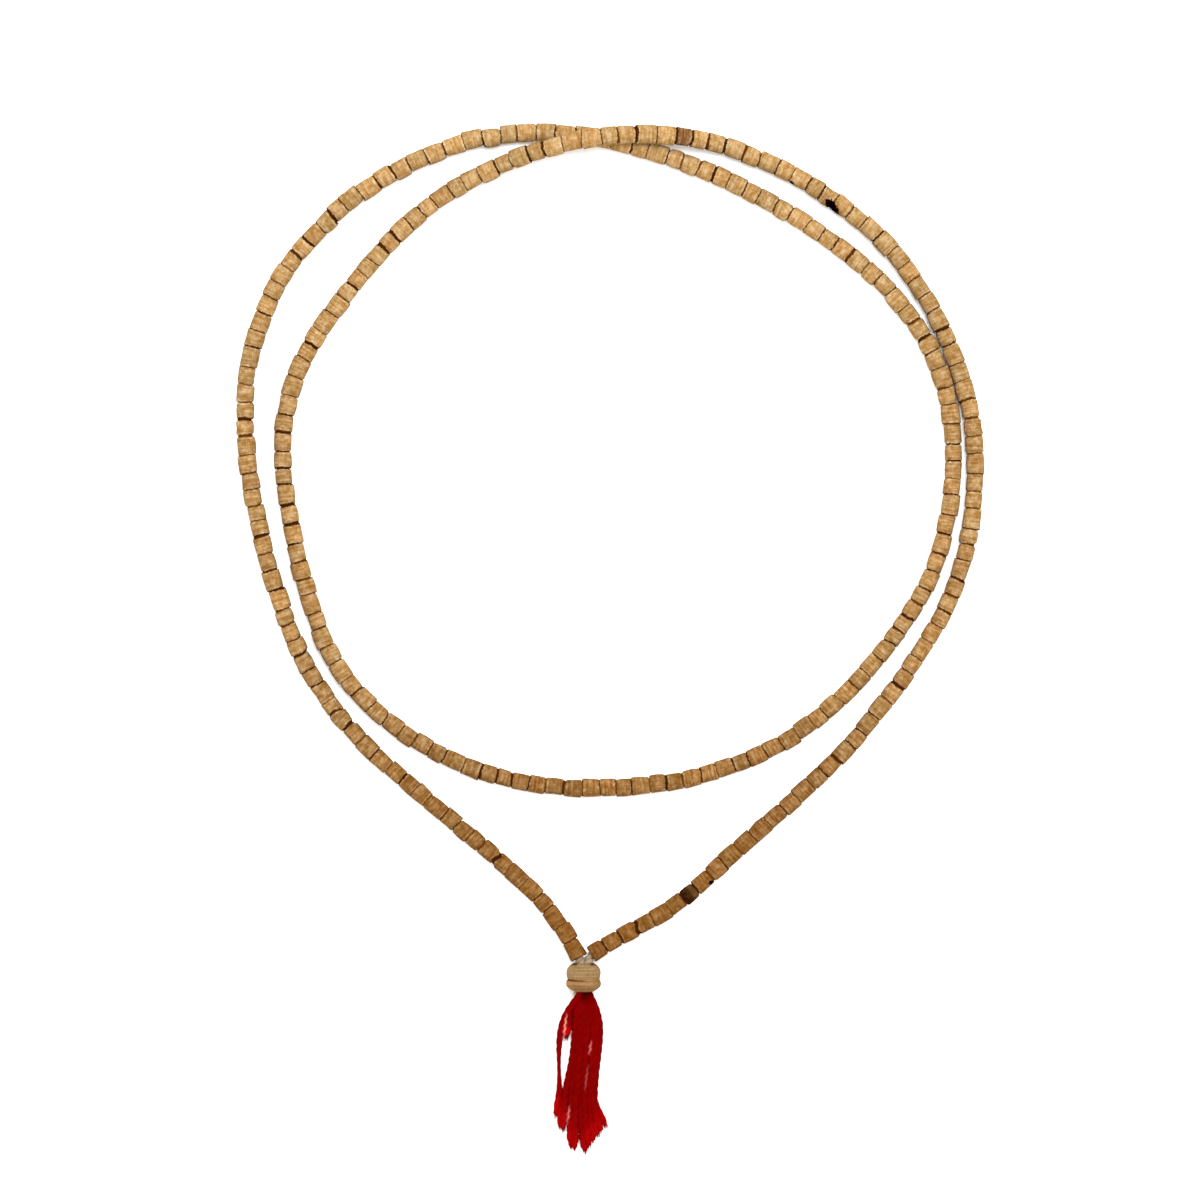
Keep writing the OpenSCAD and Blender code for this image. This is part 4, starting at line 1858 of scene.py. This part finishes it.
@dataclass(frozen=True, kw_only=True)
class DyedYarn(Finish):
    """Red dyed yarn: fine fibres along the plies, darker at the neck, partly from the tight binding and
    partly painted shadow of the guru bead, and brighter tips.
    """

    name: str = "red dyed yarn"
    # Darkest red at the neck: partly the tight binding, partly painted shadow of the guru bead
    neck: Colour = colour(0.024, 0.0, 0.0)
    deep: Colour = colour(0.058, 0.0002, 0.0002)
    bright: Colour = colour(0.2, 0.0008, 0.001)
    # Pale pink of the slits: painted light seen through gaps between the yarns
    slit: Colour = colour(0.6, 0.17, 0.15)
    # Places down the yarn at which the tip's bright red starts and the neck's darkest red, partly painted
    # shadow, ends
    tip_span: Span = (0.78, 1.0)
    neck_span: Span = (0.13, 0.03)
    # Share of the bright red above and in the tip, and where patches hold it back
    brightness: Span = (0.35, 1.0)
    patch_brightness: Span = (0.7, 1.0)
    fibre_scale: Span = (0.8, 6.0)
    fibre_tints: Tints = ((0.9, 0.87, 0.87), (1.06, 1.06, 1.06))
    patch_scale: Span = (0.35, 0.5)
    levels: Span = (0.36, 0.64)
    roughness: float = 0.95
    relief_strength: float = 0.3
    lightness_step: float = 0.07

    def dress(self, bench: NodeBench) -> tuple[Socket, Socket]:
        """Reds from neck to tip, darker at the neck by the binding and painted shadow, brightened on some
        yarns by painted light, tinted by fibres, with the painted pale slits; the fibres are its height.

        Args:
            bench: The material's bench.

        Returns:
            Colour and height.
        """
        place = bench.mark("strand_place", "Vector")
        fibre = bench.grain(place, self.fibre_scale, self.levels)
        patch = bench.grain(place, self.patch_scale, self.levels)
        fall = bench.mark("fall")
        share = bench.remap(fall, self.tip_span, self.brightness)
        share = bench.times(share, bench.remap(patch, (0.0, 1.0), self.patch_brightness))
        base = bench.mix(share, self.deep, self.bright)
        # Painted shadow of the guru bead, with the binding, darkens the neck
        base = bench.mix(bench.remap(fall, self.neck_span), base, self.neck)
        # Painted light on the yarns that the lightness mark brightens, with their random tone
        base = bench.brightened(base, self.lightness_step)
        base = bench.tinted(base, fibre, self.fibre_tints)
        return bench.mix(bench.mark("slit"), base, self.slit), fibre


@dataclass(frozen=True, kw_only=True)
class FloorPaint(Finish):
    """Matt white of the floor, with clouds too faint to see."""

    name: str = "white floor"
    white: float = 0.88
    cloud_scale: Span = (3.0, 3.0)
    cloud_levels: Span = (0.3, 0.7)
    cloud_tints: Tints = ((0.995, 0.995, 0.995), (1.0, 1.0, 1.0))
    roughness: float = 0.9
    sheen: float = 0.1

    def dress(self, bench: NodeBench) -> tuple[Socket, None]:
        """White with its clouds, and no height.

        Args:
            bench: The material's bench.

        Returns:
            Colour, and nothing for the height.
        """
        place = bench.add("ShaderNodeTexCoord").outputs["Object"]
        cloud = bench.grain(place, self.cloud_scale, self.cloud_levels)
        return bench.tinted(colour(self.white, self.white, self.white), cloud, self.cloud_tints), None


@dataclass(frozen=True)
class Studio:
    """Plain white floor, soft light from the upper right and a camera straight above."""

    pixels: int = 1200
    mm_per_pixel: float = 0.29
    # Pixel of the photograph's frame that the part's origin falls on
    origin_pixel: Span = (610.5, 638.0)
    camera_height: float = 1.5
    sensor: float = 36.0
    clip: Span = (0.05, 20.0)
    string_height: float = 0.0025
    floor_half_width: float = 6.0
    sky: Colour = colour(0.99, 0.98, 0.965)
    sky_strength: float = 1.7
    lamp_place: tuple[float, float, float] = (0.2, 0.6, 1.7)
    lamp_width: float = 1.0
    lamp_power: float = 40.0

    def camera(self) -> bpy.types.Object:
        """Hangs the camera straight above the middle of the photograph's frame.

        Returns:
            The camera, which the scene then uses.
        """
        view = bpy.data.cameras.new("camera")
        camera = bpy.data.objects.new("camera", view)
        bpy.context.collection.objects.link(camera)
        pixel = self.mm_per_pixel * MM
        x = (self.pixels / 2 - self.origin_pixel[0]) * pixel
        y = (self.origin_pixel[1] - self.pixels / 2) * pixel
        camera.location = (x, y, self.camera_height)
        view.sensor_width = self.sensor
        view.lens = self.sensor * (self.camera_height - self.string_height) / (self.pixels * pixel)
        view.clip_start, view.clip_end = self.clip
        bpy.context.scene.camera = camera
        return camera

    def floor(self) -> bpy.types.Object:
        """Lays the plain white floor.

        Returns:
            The floor.
        """
        corners = np.array([[-1, -1, 0], [1, -1, 0], [1, 1, 0], [-1, 1, 0]]) * self.floor_half_width / MM
        floor = Shape(corners, [np.array([[0, 1, 2, 3]])]).to_object("floor", FloorPaint().material())
        return floor

    def lights(self) -> None:
        """Sets the even light of a white room and one soft lamp at the upper right."""
        world = bpy.data.worlds.new("white room")
        world.use_nodes = True
        background = world.node_tree.nodes["Background"]
        background.inputs["Color"].default_value = self.sky
        background.inputs["Strength"].default_value = self.sky_strength
        bpy.context.scene.world = world
        light = bpy.data.lights.new("soft lamp", "AREA")
        light.energy = self.lamp_power
        light.size = self.lamp_width
        lamp = bpy.data.objects.new("soft_lamp", light)
        bpy.context.collection.objects.link(lamp)
        lamp.location = self.lamp_place
        lamp.rotation_euler = (-lamp.location).to_track_quat("-Z", "Y").to_euler()

    def build(self) -> None:
        """Sets up the camera, floor and lights, with colours shown as they are."""
        self.camera()
        self.floor()
        self.lights()
        bpy.context.scene.view_settings.view_transform = "Standard"


def main() -> None:
    """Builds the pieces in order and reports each."""
    logging.basicConfig(level=logging.INFO, format="%(message)s")
    Studio().build()
    layout = StringLayout()
    work = HandWork(layout.bead_count)
    half = layout.bead_count // 2
    bead_wood = TurnedWood(
        name="bead wood",
        brown=colour(0.121, 0.0525, 0.012),
        pale=colour(0.284, 0.183, 0.0815),
    )
    guru_wood = TurnedWood(
        name="guru wood",
        brown=colour(0.175, 0.099, 0.043),
        pale=colour(0.178, 0.12, 0.057),
        ragged=0.0,
        patchiness=0.0,
        rim_highlight_strength=0.0,
        mottle_strength=0.3,
        turning_strength=0.6,
        turning_scale=(2.4, 0.08),
    )
    rounds = [
        BeadRound("turned_beads_first_round", "beads_first_round", 0, half, layout, work),
        BeadRound("turned_beads_second_round", "beads_second_round", half, 2 * half, layout, work),
    ]
    pieces = [
        *(beads.build(bead_wood) for beads in rounds),
        Thread(layout).build(Cotton()),
        GuruBead(layout).build(guru_wood),
        Tassel(layout).build(DyedYarn()),
    ]
    for piece in pieces:
        logging.info("%s: %d faces", piece.name, len(piece.data.polygons))


if __name__ == "__main__":
    main()
